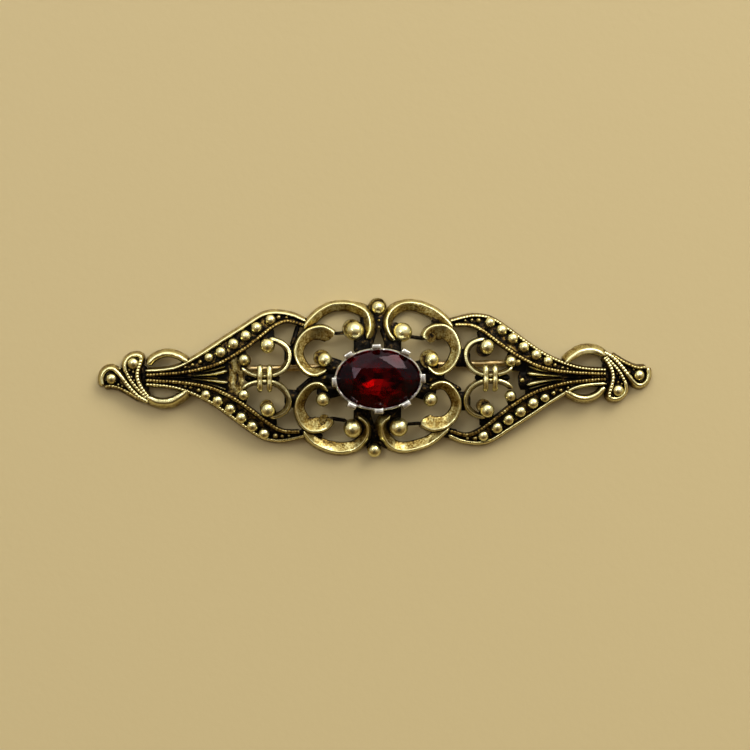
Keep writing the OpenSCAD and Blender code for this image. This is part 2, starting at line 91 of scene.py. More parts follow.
@dataclass(frozen=True)
class Line:
    """A line of the casting, with rows of x, y and breadth.

    side is +1 where a slope, or a rim's dark side, lies on the left of the line's direction. grain is the
    share of the length from which a rim is milgrained, or None where it is smooth, and rope is how shallow
    the milgrain is. flare is how far the outer wall spreads to its foot, and end_flare how far it does at
    the line's end. lip is half the breadth of a scoop's lip, and wear is how bright its tops are rubbed.
    shift moves the line across the bar on both halves alike. far holds the rows of the far half, where
    they differ.
    """

    name: str
    section: Section
    rows: Rows
    side: int = 1
    height: float = RIM_HEIGHT
    grain: float | None = None
    rope: float = 0.0
    flare: float = 0.14
    lip: float = 0.13
    wear: float = 1.0
    shift: float = 0.0
    end_flare: float | None = None
    far: Rows | None = None

    def grained(self, share: float) -> bool:
        """Whether the line is milgrained at a share of its length."""
        return self.grain is not None and share >= self.grain

    def flared(self, share: float) -> "Line":
        """Sets the flare to what it is at a place.

        Args:
            share: the place, as a share of the line's length.

        Returns:
            The line with that flare.
        """
        if self.end_flare is None:
            return self
        late = max(0.0, min(1.0, (share - FLARE_FROM) / FLARE_OVER))
        return replace(self, flare=self.flare + (self.end_flare - self.flare) * late)

    def scoop(self, slope: float) -> list[Corner]:
        """Outlines a hollow scroll: a lip, and a slope down to a dark foot.

        Args:
            slope: breadth from the lip's middle to the end of the slope.

        Returns:
            The corners, from the outer foot on.
        """
        lip, height, flare = self.lip, self.height, self.flare
        inner = max(slope, 2 * lip)
        floor = 0.55
        hollow = [
            (lip + (inner - lip) * t, floor + (height - 0.06 - floor) * (1 - t) ** 1.2, 0.68 - 0.12 * t)
            for t in (0.12, 0.32, 0.54, 0.76, 0.94)
        ]
        return [
            (-lip - flare, 0.0, 0.3), (-lip - 0.85 * flare, 0.45, 0.62),
            (-lip - 0.4 * flare, height - 0.42, 0.7), (-lip - 0.05, height - 0.14, 0.85),
            (-lip + 0.03, height - 0.03, 1.0), (0.0, height, 1.0), (lip - 0.03, height - 0.025, 0.98),
            *hollow, (inner + 0.03, floor - 0.06, 0.3), (inner + 0.06, floor - 0.2, 0.05),
            (inner + 0.06, 0.0, 0.0),
        ]

    def roll(self, slope: float) -> list[Corner]:
        """Outlines a broad rounded band, with a flared outer wall and a steep inner edge.

        Args:
            slope: breadth from the top's outer edge to the inner edge.

        Returns:
            The corners, from the outer foot on.
        """
        height, flare = self.height, self.flare
        return [
            (-0.13 - flare, 0.0, 0.3), (-0.13 - 0.8 * flare, 0.45, 0.6),
            (-0.13 - 0.35 * flare, height - 0.42, 0.68), (-0.15, height - 0.18, 0.8),
            (-0.06, height - 0.05, 0.95), (0.08, height, 1.0), (0.22, height - 0.02, 1.0),
            (slope - 0.16, height - 0.1, 0.98), (slope - 0.06, height - 0.26, 0.88),
            (slope, height - 0.55, 0.55), (slope + 0.04, 0.45, 0.2), (slope + 0.06, 0.0, 0.0),
        ]

    def rim(self, breadth: float) -> list[Corner]:
        """Outlines a thin rim: a golden wall outside, a rounded top, and a dark wall inside.

        Args:
            breadth: breadth of its top.

        Returns:
            The corners, from the outer foot on.
        """
        half, height, flare = breadth / 2, self.height, self.flare
        return [
            (-half - flare, 0.0, 0.3), (-half - 0.7 * flare, 0.5, 0.6),
            (-half - 0.2 * flare, height - 0.2, 0.7), (-half + 0.01, height - 0.07, 0.9),
            (-half * 0.5, height - 0.012, 1.0), (0.0, height, 1.0), (half * 0.5, height - 0.012, 1.0),
            (half - 0.01, height - 0.07, 0.85), (half + 0.03, height - 0.2, 0.6), (half + 0.1, 0.5, 0.3),
            (half + 0.14, 0.0, 0.1),
        ]

    def ridge(self, breadth: float) -> list[Corner]:
        """Outlines a rounded ridge: dark where it is a web, and else bright on its top.

        Args:
            breadth: breadth of its foot.

        Returns:
            The corners, from the outer foot on.
        """
        half = breadth / 2
        low, high = (0.02, 0.16) if self.section is Section.WEB else (0.1, 1.0)
        arch = []
        for k in range(9):
            turn = math.pi * k / 8
            rise = math.sin(turn)
            wear = low + (high - low) * rise ** 2
            arch.append((-half * math.cos(turn), 0.3 + (self.height - 0.3) * rise, wear))
        return [(-half, 0.08, low), *arch, (half, 0.08, low)]

    def profile(self, breadth: float) -> list[Corner]:
        """The outline of the line's section, from its outer foot over the top to its inner foot.

        Args:
            breadth: breadth of a scoop's slope, or of a rim's or ridge's top.

        Returns:
            The corners.
        """
        shapes = {Section.SCOOP: self.scoop, Section.ROLL: self.roll, Section.RIM: self.rim}
        return shapes.get(self.section, self.ridge)(breadth)


@dataclass(frozen=True)
class Station:
    """A place on a line: where it is, the way to its left, its breadth, and how far along it lies."""

    x: float
    y: float
    nx: float
    ny: float
    breadth: float
    along: float
    share: float


@dataclass(frozen=True)
class Dome:
    """The casting's domed back, which every height is measured from."""

    # height in the middle, and how far along and across the bar the dome reaches down to the surface
    rise: float = 2.1
    reach_x: float = 31.5
    reach_y: float = 8.6

    def back(self, x: float, y: float) -> float:
        """Height of the back over the surface, in millimetres."""
        return max(0.0, self.rise * (1 - (x / self.reach_x) ** 2 - (y / self.reach_y) ** 2))

    def point(self, x: float, y: float, height: float) -> Vector:
        """A point over the back, in metres."""
        return Vector((x, y, self.back(x, y) + height)) * MM


DOME = Dome()
# Moves every shell across the bar, so that the brooch's box is centred as the frame's is.
CENTRING = -0.12


def catmull(a: float, b: float, c: float, d: float, u: float) -> float:
    """Smooth value at share u between b and c, where a lies before them and d after them."""
    return 0.5 * (
        2 * b + (c - a) * u + (2 * a - 5 * b + 4 * c - d) * u * u + (3 * b - a - 3 * c + d) * u * u * u
    )


def smooth_row(rows: Rows, s: float) -> Row:
    """A row between the rows of a table.

    Args:
        rows: the table.
        s: position, counted in rows.

    Returns:
        The row there.
    """
    last = len(rows) - 1
    i = min(last - 1, int(s))
    picks = [rows[max(0, min(last, i + k))] for k in (-1, 0, 1, 2)]
    return tuple(catmull(*column, s - i) for column in zip(*picks))


def stations(rows: Rows, spacing: float, start: float = 0.0, end: float = 1.0) -> list[Station]:
    """Evenly spaced places along the smooth line through a table.

    Args:
        rows: columns x, y and breadth.
        spacing: wanted distance between two places, in millimetres.
        start: share of the table, counted in rows, where the line starts.
        end: share of the table where it ends.

    Returns:
        The places, in the table's order.
    """
    last = len(rows) - 1
    steps = 24 * last
    fine = [smooth_row(rows, (start + (end - start) * k / steps) * last) for k in range(steps + 1)]
    run = [0.0]
    for a, b in zip(fine, fine[1:]):
        run.append(run[-1] + math.hypot(b[0] - a[0], b[1] - a[1]))
    total = run[-1]
    count = max(2, round(total / spacing))
    out: list[Station] = []
    j = 0
    for k in range(count + 1):
        goal = total * k / count
        while j < steps - 1 and run[j + 1] < goal:
            j += 1
        u = (goal - run[j]) / max(1e-9, run[j + 1] - run[j])
        x, y, breadth = (p + (q - p) * u for p, q in zip(fine[j], fine[j + 1]))
        before, after = fine[max(0, j - 2)], fine[min(steps, j + 3)]
        dx, dy = after[0] - before[0], after[1] - before[1]
        norm = math.hypot(dx, dy)
        out.append(Station(x, y, -dy / norm, dx / norm, breadth, goal, k / count))
    return out


def with_breadth(points: Sequence[Row], breadth: float) -> Rows:
    """Adds one breadth to every row of x and y."""
    return tuple((x, y, breadth) for x, y in points)


# Thin rims, columns: x, y. One half of the casting, from the tip end towards the middle.
UPPER_OUTER_RIM = (
    (-26.66, 0.73), (-24.39, 0.88), (-22.69, 1.32), (-20.41, 2.6), (-17.91, 4.25), (-15.51, 5.8),
    (-13.56, 7.08), (-12.42, 7.5), (-11.04, 7.5), (-9.55, 7.18), (-8.3, 6.57),
)
UPPER_INNER_RIM = (
    (-26.66, 0.24), (-24.39, 0.38), (-22.12, 0.62), (-19.84, 1.14), (-17.91, 1.82), (-15.51, 3.27),
    (-13.91, 4.5), (-12.42, 5.7), (-11.27, 6.4), (-10.12, 6.6), (-8.4, 6.11),
)
LOWER_INNER_RIM = (
    (-26.66, -0.37), (-24.39, -0.47), (-22.12, -0.64), (-19.84, -1.0), (-17.91, -1.68),
    (-15.85, -2.83), (-13.91, -4.21), (-12.19, -5.5), (-10.81, -6.15), (-8.97, -6.2),
)
LOWER_OUTER_RIM = (
    (-26.66, -0.84), (-24.39, -0.99), (-22.69, -1.32), (-20.87, -1.99), (-19.05, -2.9),
    (-17.22, -4.15), (-15.51, -5.42), (-13.79, -6.63), (-12.42, -7.14), (-10.81, -7.2), (-8.4, -6.64),
)
FIRST_LOBE = (
    (-31.6, -1.02), (-31.74, -0.3), (-31.52, 0.48), (-31.0, 0.92), (-30.42, 0.9), (-29.92, 0.5),
    (-29.42, -0.09), (-28.8, -0.92), (-28.1, -1.72), (-27.4, -2.36), (-26.4, -2.9),
)
SECOND_LOBE = (
    (-28.95, 0.55), (-29.08, 1.3), (-28.87, 1.95), (-28.4, 2.38), (-27.8, 2.54), (-27.33, 2.44),
    (-27.2, 2.1), (-27.4, 1.4), (-27.6, 0.7), (-27.64, 0.0), (-27.46, -0.7), (-27.02, -1.5),
    (-26.4, -2.3),
)
FAR_SECOND_LOBE = (
    (-28.95, 0.55), (-29.08, 1.3), (-28.87, 1.95), (-28.4, 2.38), (-27.8, 2.54), (-27.25, 2.46),
    (-27.05, 2.1), (-27.18, 1.5), (-27.42, 0.7), (-27.5, 0.0), (-27.36, -0.8), (-26.98, -1.6),
    (-26.4, -2.35),
)
MIDDLE_RIDGE = ((-29.0, 0.75), (-28.75, 0.25), (-28.4, -0.4), (-27.9, -1.05), (-27.35, -1.65), (-26.6, -2.4))
TIP_HEM = ((-31.42, -1.14), (-30.7, -1.06), (-29.95, -1.2), (-29.13, -1.56), (-28.43, -1.94), (-27.4, -2.6))
MIDDLE_LINE = ((-26.4, -0.06), (-25.9, -0.06), (-25.4, -0.05), (-24.9, -0.05))
MIDDLE_SEAM = ((-24.9, -0.05), (-23.2, -0.04), (-21.2, -0.02), (-19.4, 0.02))

# Scooped scrolls, columns: x, y of the lip, breadth of the slope inside it.
UPPER_HEART = (
    (-15.62, 1.14, 0.28), (-14.82, 0.56, 0.32), (-13.91, 0.27, 0.36), (-12.76, 0.24, 0.38),
    (-11.73, 0.42, 0.42), (-10.81, 0.95, 0.45), (-10.26, 1.78, 0.45), (-10.12, 2.76, 0.45),
    (-10.45, 3.6, 0.45), (-11.15, 4.18, 0.4), (-12.42, 4.6, 0.28),
)
LOWER_HEART = (
    (-15.56, -1.22, 0.28), (-14.88, -0.72, 0.3), (-13.91, -0.43, 0.35), (-12.76, -0.36, 0.38),
    (-11.84, -0.48, 0.42), (-10.93, -1.0, 0.45), (-10.3, -1.85, 0.45), (-10.13, -2.83, 0.45),
    (-10.45, -3.7, 0.45), (-11.15, -4.25, 0.4), (-12.3, -4.58, 0.28),
)
UPPER_CRESCENT = (
    (-26.5, 1.35, 0.5), (-26.1, 1.9, 0.5), (-25.5, 2.36, 0.5), (-24.5, 2.7, 0.5),
    (-23.5, 2.64, 0.5), (-22.6, 2.27, 0.48), (-21.8, 1.75, 0.4),
)
LOWER_CRESCENT = (
    (-26.55, -2.4, 0.45), (-25.95, -2.9, 0.55), (-25.2, -3.14, 0.62), (-24.3, -3.17, 0.65),
    (-23.5, -2.97, 0.65), (-22.8, -2.56, 0.6), (-22.2, -2.1, 0.5), (-21.8, -1.6, 0.4),
)
UPPER_ARCH = (
    (-8.55, 5.88, 0.8), (-7.9, 6.7, 0.82), (-6.85, 7.72, 0.82), (-5.38, 8.5, 0.82),
    (-3.65, 8.66, 0.82), (-2.15, 8.32, 0.84), (-1.25, 7.68, 0.86), (-0.88, 6.55, 0.8), (-0.95, 5.45, 0.62),
    (-1.35, 4.76, 0.45),
)
FAR_UPPER_ARCH = (
    (-8.35, 5.76, 0.8), (-7.24, 6.79, 0.9), (-6.09, 7.62, 0.95), (-4.72, 8.13, 1.0), (-3.3, 8.42, 1.0),
    (-2.1, 8.21, 0.95), (-1.23, 7.52, 0.9), (-0.65, 6.49, 0.75), (-0.51, 5.52, 0.6),
    (-0.86, 4.82, 0.45), (-1.5, 4.35, 0.35),
)
LOWER_ARCH = (
    (-8.56, -6.16, 0.75), (-7.79, -7.16, 0.9), (-6.84, -7.84, 1.0), (-5.6, -8.35, 1.1),
    (-4.29, -8.55, 1.1), (-2.92, -8.35, 1.05), (-1.99, -7.79, 0.9), (-1.33, -6.96, 0.8),
    (-1.1, -6.04, 0.65), (-1.29, -5.25, 0.5), (-1.76, -4.71, 0.4), (-2.31, -4.38, 0.35),
)
FAR_LOWER_ARCH = (
    (-8.75, -5.85, 0.8), (-8.03, -6.76, 0.9), (-7.03, -7.66, 0.95), (-5.88, -8.29, 0.95),
    (-4.72, -8.66, 0.9), (-3.52, -8.76, 0.85), (-2.45, -8.49, 0.85), (-1.6, -7.85, 0.85),
    (-1.11, -6.95, 0.75), (-1.1, -6.02, 0.6), (-1.41, -5.15, 0.45), (-2.0, -4.5, 0.35),
)
UPPER_SIDE = (
    (-4.86, 5.14, 1.4), (-5.2, 5.46, 1.5), (-5.8, 5.8, 1.55), (-6.6, 5.98, 1.55), (-8.02, 5.6, 1.3),
    (-9.1, 4.5, 1.1), (-9.52, 3.11, 0.95), (-9.2, 1.82, 0.95), (-8.24, 0.68, 0.85), (-7.13, 0.42, 0.8),
    (-5.9, 0.95, 0.7),
)
LOWER_SIDE = (
    (-5.4, -4.5, 1.1), (-5.3, -5.0, 1.2), (-5.6, -5.55, 1.4), (-6.2, -5.98, 1.6),
    (-7.0, -6.15, 1.65), (-7.95, -6.05, 1.55), (-8.95, -5.15, 1.3), (-9.45, -3.41, 1.0), (-8.9, -1.8, 0.9),
    (-7.8, -0.73, 0.75), (-6.67, -0.58, 0.65), (-5.72, -1.39, 0.45),
)


def rim(name: str, points: Sequence[Row], breadth: float, side: int, **more: Any) -> Line:
    """A thin rim of one breadth."""
    return Line(name, Section.RIM, with_breadth(points, breadth), side, **more)


def leaf(name: str, rows: Rows, height: float = RIM_HEIGHT) -> Line:
    """A leaf of the palmette."""
    return Line(name, Section.PETAL, rows, height=height)


HALF_LINES = (
    rim("upper_outer_rim", UPPER_OUTER_RIM, 0.28, -1, flare=0.26),
    rim("upper_inner_rim", UPPER_INNER_RIM, 0.32, 1, grain=0.0, rope=0.4, wear=0.6),
    rim("lower_inner_rim", LOWER_INNER_RIM, 0.32, -1, grain=0.0, rope=0.42, wear=0.7),
    rim("lower_outer_rim", LOWER_OUTER_RIM, 0.25, 1, grain=0.0, rope=0.45, flare=0.2),
    rim("first_lobe", FIRST_LOBE, 0.36, -1, grain=0.55, rope=0.75, flare=0.36),
    rim("second_lobe", SECOND_LOBE, 0.34, -1, grain=0.42, rope=0.7, flare=0.3,
        far=with_breadth(FAR_SECOND_LOBE, 0.34)),
    rim("middle_ridge", MIDDLE_RIDGE, 0.3, 1, grain=0.0, rope=0.6),
    rim("tip_hem", TIP_HEM, 0.24, 1, grain=0.0, rope=0.6, flare=0.3, wear=0.75),
    rim("middle_line", MIDDLE_LINE, 0.14, 1, height=0.85, grain=0.0, wear=0.5),
    rim("middle_seam", MIDDLE_SEAM, 0.12, 1, height=0.75, wear=0.25),
    Line("upper_heart", Section.SCOOP, UPPER_HEART, 1, SCROLL_HEIGHT, lip=0.16),
    Line("lower_heart", Section.SCOOP, LOWER_HEART, -1, SCROLL_HEIGHT, lip=0.16),
    Line("upper_crescent", Section.ROLL, UPPER_CRESCENT, -1, SCROLL_HEIGHT, flare=0.34, shift=0.13),
    Line("lower_crescent", Section.ROLL, LOWER_CRESCENT, 1, SCROLL_HEIGHT, flare=0.48, shift=0.13),
    Line("upper_arch", Section.SCOOP, UPPER_ARCH, -1, SCROLL_HEIGHT, flare=0.3, lip=0.1, end_flare=0.8,
         far=FAR_UPPER_ARCH),
    Line("lower_arch", Section.SCOOP, LOWER_ARCH, 1, SCROLL_HEIGHT, flare=0.36, lip=0.1, end_flare=0.55,
         far=FAR_LOWER_ARCH),
    Line("upper_side", Section.SCOOP, UPPER_SIDE, 1, SCROLL_HEIGHT, flare=0.22, lip=0.1),
    Line("lower_side", Section.SCOOP, LOWER_SIDE, -1, SCROLL_HEIGHT, flare=0.22, lip=0.1),
    leaf("upper_leaf", ((-21.4, 0.2, 0.2), (-19.3, 0.38, 0.36), (-17.9, 0.64, 0.6), (-17.3, 0.84, 0.5))),
    leaf("lower_leaf", (
        (-21.4, -0.16, 0.2), (-19.2, -0.32, 0.36), (-17.8, -0.48, 0.56), (-17.3, -0.52, 0.46),
    )),
    leaf("middle_leaf", ((-20.6, 0.03, 0.14), (-19.4, 0.0, 0.24), (-18.4, -0.06, 0.3)), 0.95),
    leaf("upper_outer_leaf", ((-20.2, 0.62, 0.14), (-18.9, 0.9, 0.26), (-17.55, 1.3, 0.34)), 1.0),
    leaf("lower_outer_leaf", ((-20.2, -0.62, 0.14), (-18.9, -0.86, 0.26), (-17.5, -1.34, 0.34)), 1.0),
)

# Floors between two lines: each with the share where it starts and ends, counted in rows.
HALF_FLOORS = (
    (UPPER_OUTER_RIM, 0.0, 1.0, UPPER_INNER_RIM, 0.0, 1.0),
    (LOWER_INNER_RIM, 0.0, 1.0, LOWER_OUTER_RIM, 0.0, 1.0),
    (UPPER_INNER_RIM, 0.0, 0.43, LOWER_INNER_RIM, 0.0, 0.48),
    (SECOND_LOBE, 0.5, 0.94, FIRST_LOBE, 0.45, 0.94),
    (FIRST_LOBE, 0.36, 0.9, TIP_HEM, 0.0, 1.0),
)

# Beads, columns: x, y, radius. The larger ones lie a little differently on the two halves.
BEADS = (
    (-19.41, 2.31, 0.5), (-18.04, 2.92, 0.64), (-16.6, 3.88, 0.64), (-15.21, 4.8, 0.64),
    (-13.92, 5.75, 0.64), (-12.34, 6.68, 0.6), (-19.75, -1.93, 0.55), (-18.39, -2.64, 0.62),
    (-16.97, -3.55, 0.62), (-15.69, -4.54, 0.64), (-14.44, -5.54, 0.64), (-13.08, -6.41, 0.6),
    (-15.39, 2.07, 0.64), (-15.43, -1.92, 0.62), (-30.62, -0.2, 0.6), (-28.11, 1.56, 0.66),
    (-12.68, 3.73, 0.84), (-12.65, -3.63, 0.84),
)
NEAR_BEADS = (
    (-6.11, 2.18, 0.8), (-6.33, -2.41, 0.8), (-2.68, 5.5, 1.08), (-2.87, -5.74, 1.06), (0.12, 8.19, 0.78),
)
FAR_BEADS = (
    (-6.09, 2.41, 0.8), (-6.23, -2.19, 0.8), (-2.48, 5.6, 1.06), (-2.88, -5.36, 1.08), (0.31, 8.3, 0.78),
)

# Small grains where the bands narrow, columns: x, y, radius.
GRAINS = (
    (-22.15, 1.2, 0.2), (-21.3, 1.47, 0.25), (-20.43, 1.8, 0.3), (-22.1, -1.02, 0.2), (-21.5, -1.14, 0.22),
    (-20.6, -1.45, 0.28), (-11.4, 7.0, 0.32), (-10.5, 6.98, 0.22), (-11.75, -6.66, 0.34),
    (-10.98, -6.72, 0.22), (-10.2, -6.66, 0.17), (-28.98, 0.55, 0.17), (-28.57, 0.8, 0.17),
    (-28.11, 0.6, 0.16), (-28.35, 0.0, 0.17), (-28.0, -0.4, 0.15),
)
NEAR_GRAINS = (
    (0.18, 6.73, 0.17), (0.16, 5.98, 0.15), (-29.68, 0.92, 0.17), (-29.85, -0.9, 0.16), (-29.39, -1.1, 0.15),
)
FAR_GRAINS = (
    (-16.24, -1.8, 0.42), (-16.75, 0.25, 0.3), (-29.4, -0.55, 0.17), (-28.9, -1.15, 0.15),
    (-30.0, -0.86, 0.14),
)

# Webs between the pieces of the openwork, columns: x1, y1, x2, y2, breadth.
WEBS = (
    (-10.1, 2.65, -9.49, 2.64, 2.2), (-10.1, -2.35, -9.51, -2.37, 2.1),
    (-15.1, -0.04, -11.49, -0.06, 0.75), (-12.75, 5.2, -12.66, 3.81, 1.7),
    (-12.39, -5.2, -12.51, -3.8, 1.6), (-15.8, 3.0, -15.4, 2.1, 1.2), (-15.69, -2.7, -15.45, -1.9, 1.2),
    (-9.0, 6.51, -7.5, 6.2, 1.2), (-8.8, -6.37, -6.6, -6.75, 0.95), (-7.3, -0.07, -4.9, -0.08, 1.35),
    (-6.12, 1.75, -4.7, 1.29, 1.9), (-6.5, -1.78, -4.69, -1.28, 1.6), (-1.76, 5.7, -1.75, 3.5, 2.0),
    (-1.77, -5.92, -1.75, -3.5, 2.0), (0.21, 7.7, 0.18, 6.3, 1.4), (-0.32, 5.65, -0.81, 4.09, 0.7),
    (0.62, 5.65, 1.12, 4.1, 0.7), (-30.6, -0.31, -30.4, -0.51, 1.8), (-28.18, 1.18, -28.31, -0.5, 1.6),
    (-27.0, 1.1, -26.71, -1.5, 0.9),
)
NEAR_WEBS = (
    (-9.15, 6.03, -9.86, 3.88, 0.55), (-7.69, -0.07, -9.22, -1.38, 0.55), (-1.62, 7.3, -1.7, 5.0, 0.7),
)
FAR_WEBS = ((-7.54, 0.21, -9.49, 1.3, 0.6), (-17.39, 0.28, -17.0, 0.3, 2.2))

# Low bars between a side scroll's mouth and the bead beside it, columns: x1, y1, x2, y2, breadth, height.
STRUTS = ((-4.95, 5.18, -3.49, 5.3, 0.4, 0.9), (-5.4, -4.6, -3.7, -4.85, 0.45, 0.9))
FAR_STRUTS = ((-0.3, 7.35, -1.05, 8.0, 0.4, 1.0), (0.77, 7.22, 1.1, 8.0, 0.36, 0.85))

# The low round piece that fills the lower side scroll's mouth on both halves: x, y, radius, height, wear.
MOUTH = (-6.15, -4.72, 0.62, 0.8, 0.6)
# Collars under beads, with the same columns, each in place. The low one at 12.4, 3.45, with wear 0.3, is a
# painted shadow: a dark pad at the lower left of a heart bead, where that bead's shadow falls.
COLLARS = (
    (0.06, 8.27, 1.1, 1.0, 0.6), (-2.9, 5.75, 1.18, 1.0, 0.6), (-6.45, 2.4, 1.0, 0.95, 0.65),
    (5.94, 2.3, 1.12, 0.95, 0.65), (-12.75, -3.2, 0.86, 0.95, 0.6), (12.3, -3.15, 0.85, 0.95, 0.55),
    # the first row is a painted shadow: a low, dark pad, off the heart bead's middle towards its lower left
    (12.4, 3.45, 0.95, 0.75, 0.3), (-15.35, 2.1, 0.82, 0.8, 0.45), (15.45, 2.05, 0.75, 0.8, 0.6),
)

# Tie bars over the two hearts: distance from the middle of the bar, and the run over them as columns
# of distance across the bar and height of the bar's middle.
TIE_BARS = (-13.55, -12.46)
TIE_RUN = (
    (1.34, 0.55), (1.2, 0.98), (0.92, 1.2), (0.4, 1.26), (-0.1, 1.22), (-0.6, 1.27), (-1.0, 1.18),
    (-1.3, 0.95), (-1.42, 0.5),
)


def lump(x: float, y: float, per_x: float, per_y: float, layer: float) -> float:
    """Smooth noise from -1 to 1 over the plane, as so many waves to a millimetre and one of many layers."""
    return noise.noise(Vector((x * per_x, y * per_y, layer)))


def round_end(share: float) -> float:
    """How wide a round end is, from 0 at its very end to 1 from a share of 1 on."""
    return math.sqrt(1 - (1 - share) ** 2)


def link_object(name: str, data: bpy.types.ID) -> bpy.types.Object:
    """Makes an object of its data and puts it in the scene."""
    obj = bpy.data.objects.new(name, data)
    bpy.context.scene.collection.objects.link(obj)
    return obj


def shell_object(name: str, mesh: bmesh.types.BMesh) -> bpy.types.Object:
    """Turns a closed shell into an object, with its faces outward, and centres it across the bar.

    Args:
        name: the object's name.
        mesh: the shell, in metres, which is freed.

    Returns:
        The object.
    """
    bmesh.ops.translate(mesh, verts=mesh.verts, vec=(0, CENTRING * MM, 0))
    bmesh.ops.remove_doubles(mesh, verts=mesh.verts, dist=1e-7)
    bmesh.ops.recalc_face_normals(mesh, faces=mesh.faces)
    data = bpy.data.meshes.new(name)
    mesh.to_mesh(data)
    mesh.free()
    return link_object(name, data)


def worn(mesh: bmesh.types.BMesh, verts: Iterable[bmesh.types.BMVert], values: Iterable[float]) -> None:
    """Writes how far each vertex would be rubbed bright, from 0 to 1."""
    layer = mesh.verts.layers.float[WEAR]
    for vert, value in zip(verts, values):
        vert[layer] = value


def sweep(
    mesh: bmesh.types.BMesh, rings: Sequence[Sequence[Vector]], wears: Sequence[Sequence[float]]
) -> None:
    """Extrudes a closed section through rings of the same number of points, and closes both ends.

    Args:
        mesh: the mesh that it is added to.
        rings: the section's corners at each station, in metres.
        wears: the wear of each of those corners.
    """
    count = len(rings[0])
    ring = [mesh.verts.new(point) for point in rings[0]]
    worn(mesh, ring, wears[0])
    edges = [mesh.edges.new((ring[k], ring[(k + 1) % count])) for k in range(count)]
    bmesh.ops.contextual_create(mesh, geom=edges)
    for points, values in zip(rings[1:], wears[1:]):
        made = bmesh.ops.extrude_edge_only(mesh, edges=edges)["geom"]
        fresh = {item for item in made if isinstance(item, bmesh.types.BMVert)}
        ring = [next(o for o in (e.other_vert(v) for e in v.link_edges) if o in fresh) for v in ring]
        for vert, point in zip(ring, points):
            vert.co = point
        worn(mesh, ring, values)
        edges = [mesh.edges.get((ring[k], ring[(k + 1) % count])) for k in range(count)]
    bmesh.ops.contextual_create(mesh, geom=edges)


@dataclass(frozen=True)
class Round:
    """A bead or a short drum, in millimetres, with its number of sides and its wear."""

    x: float
    y: float
    radius: float
    top: float
    sides: int
    wear: float


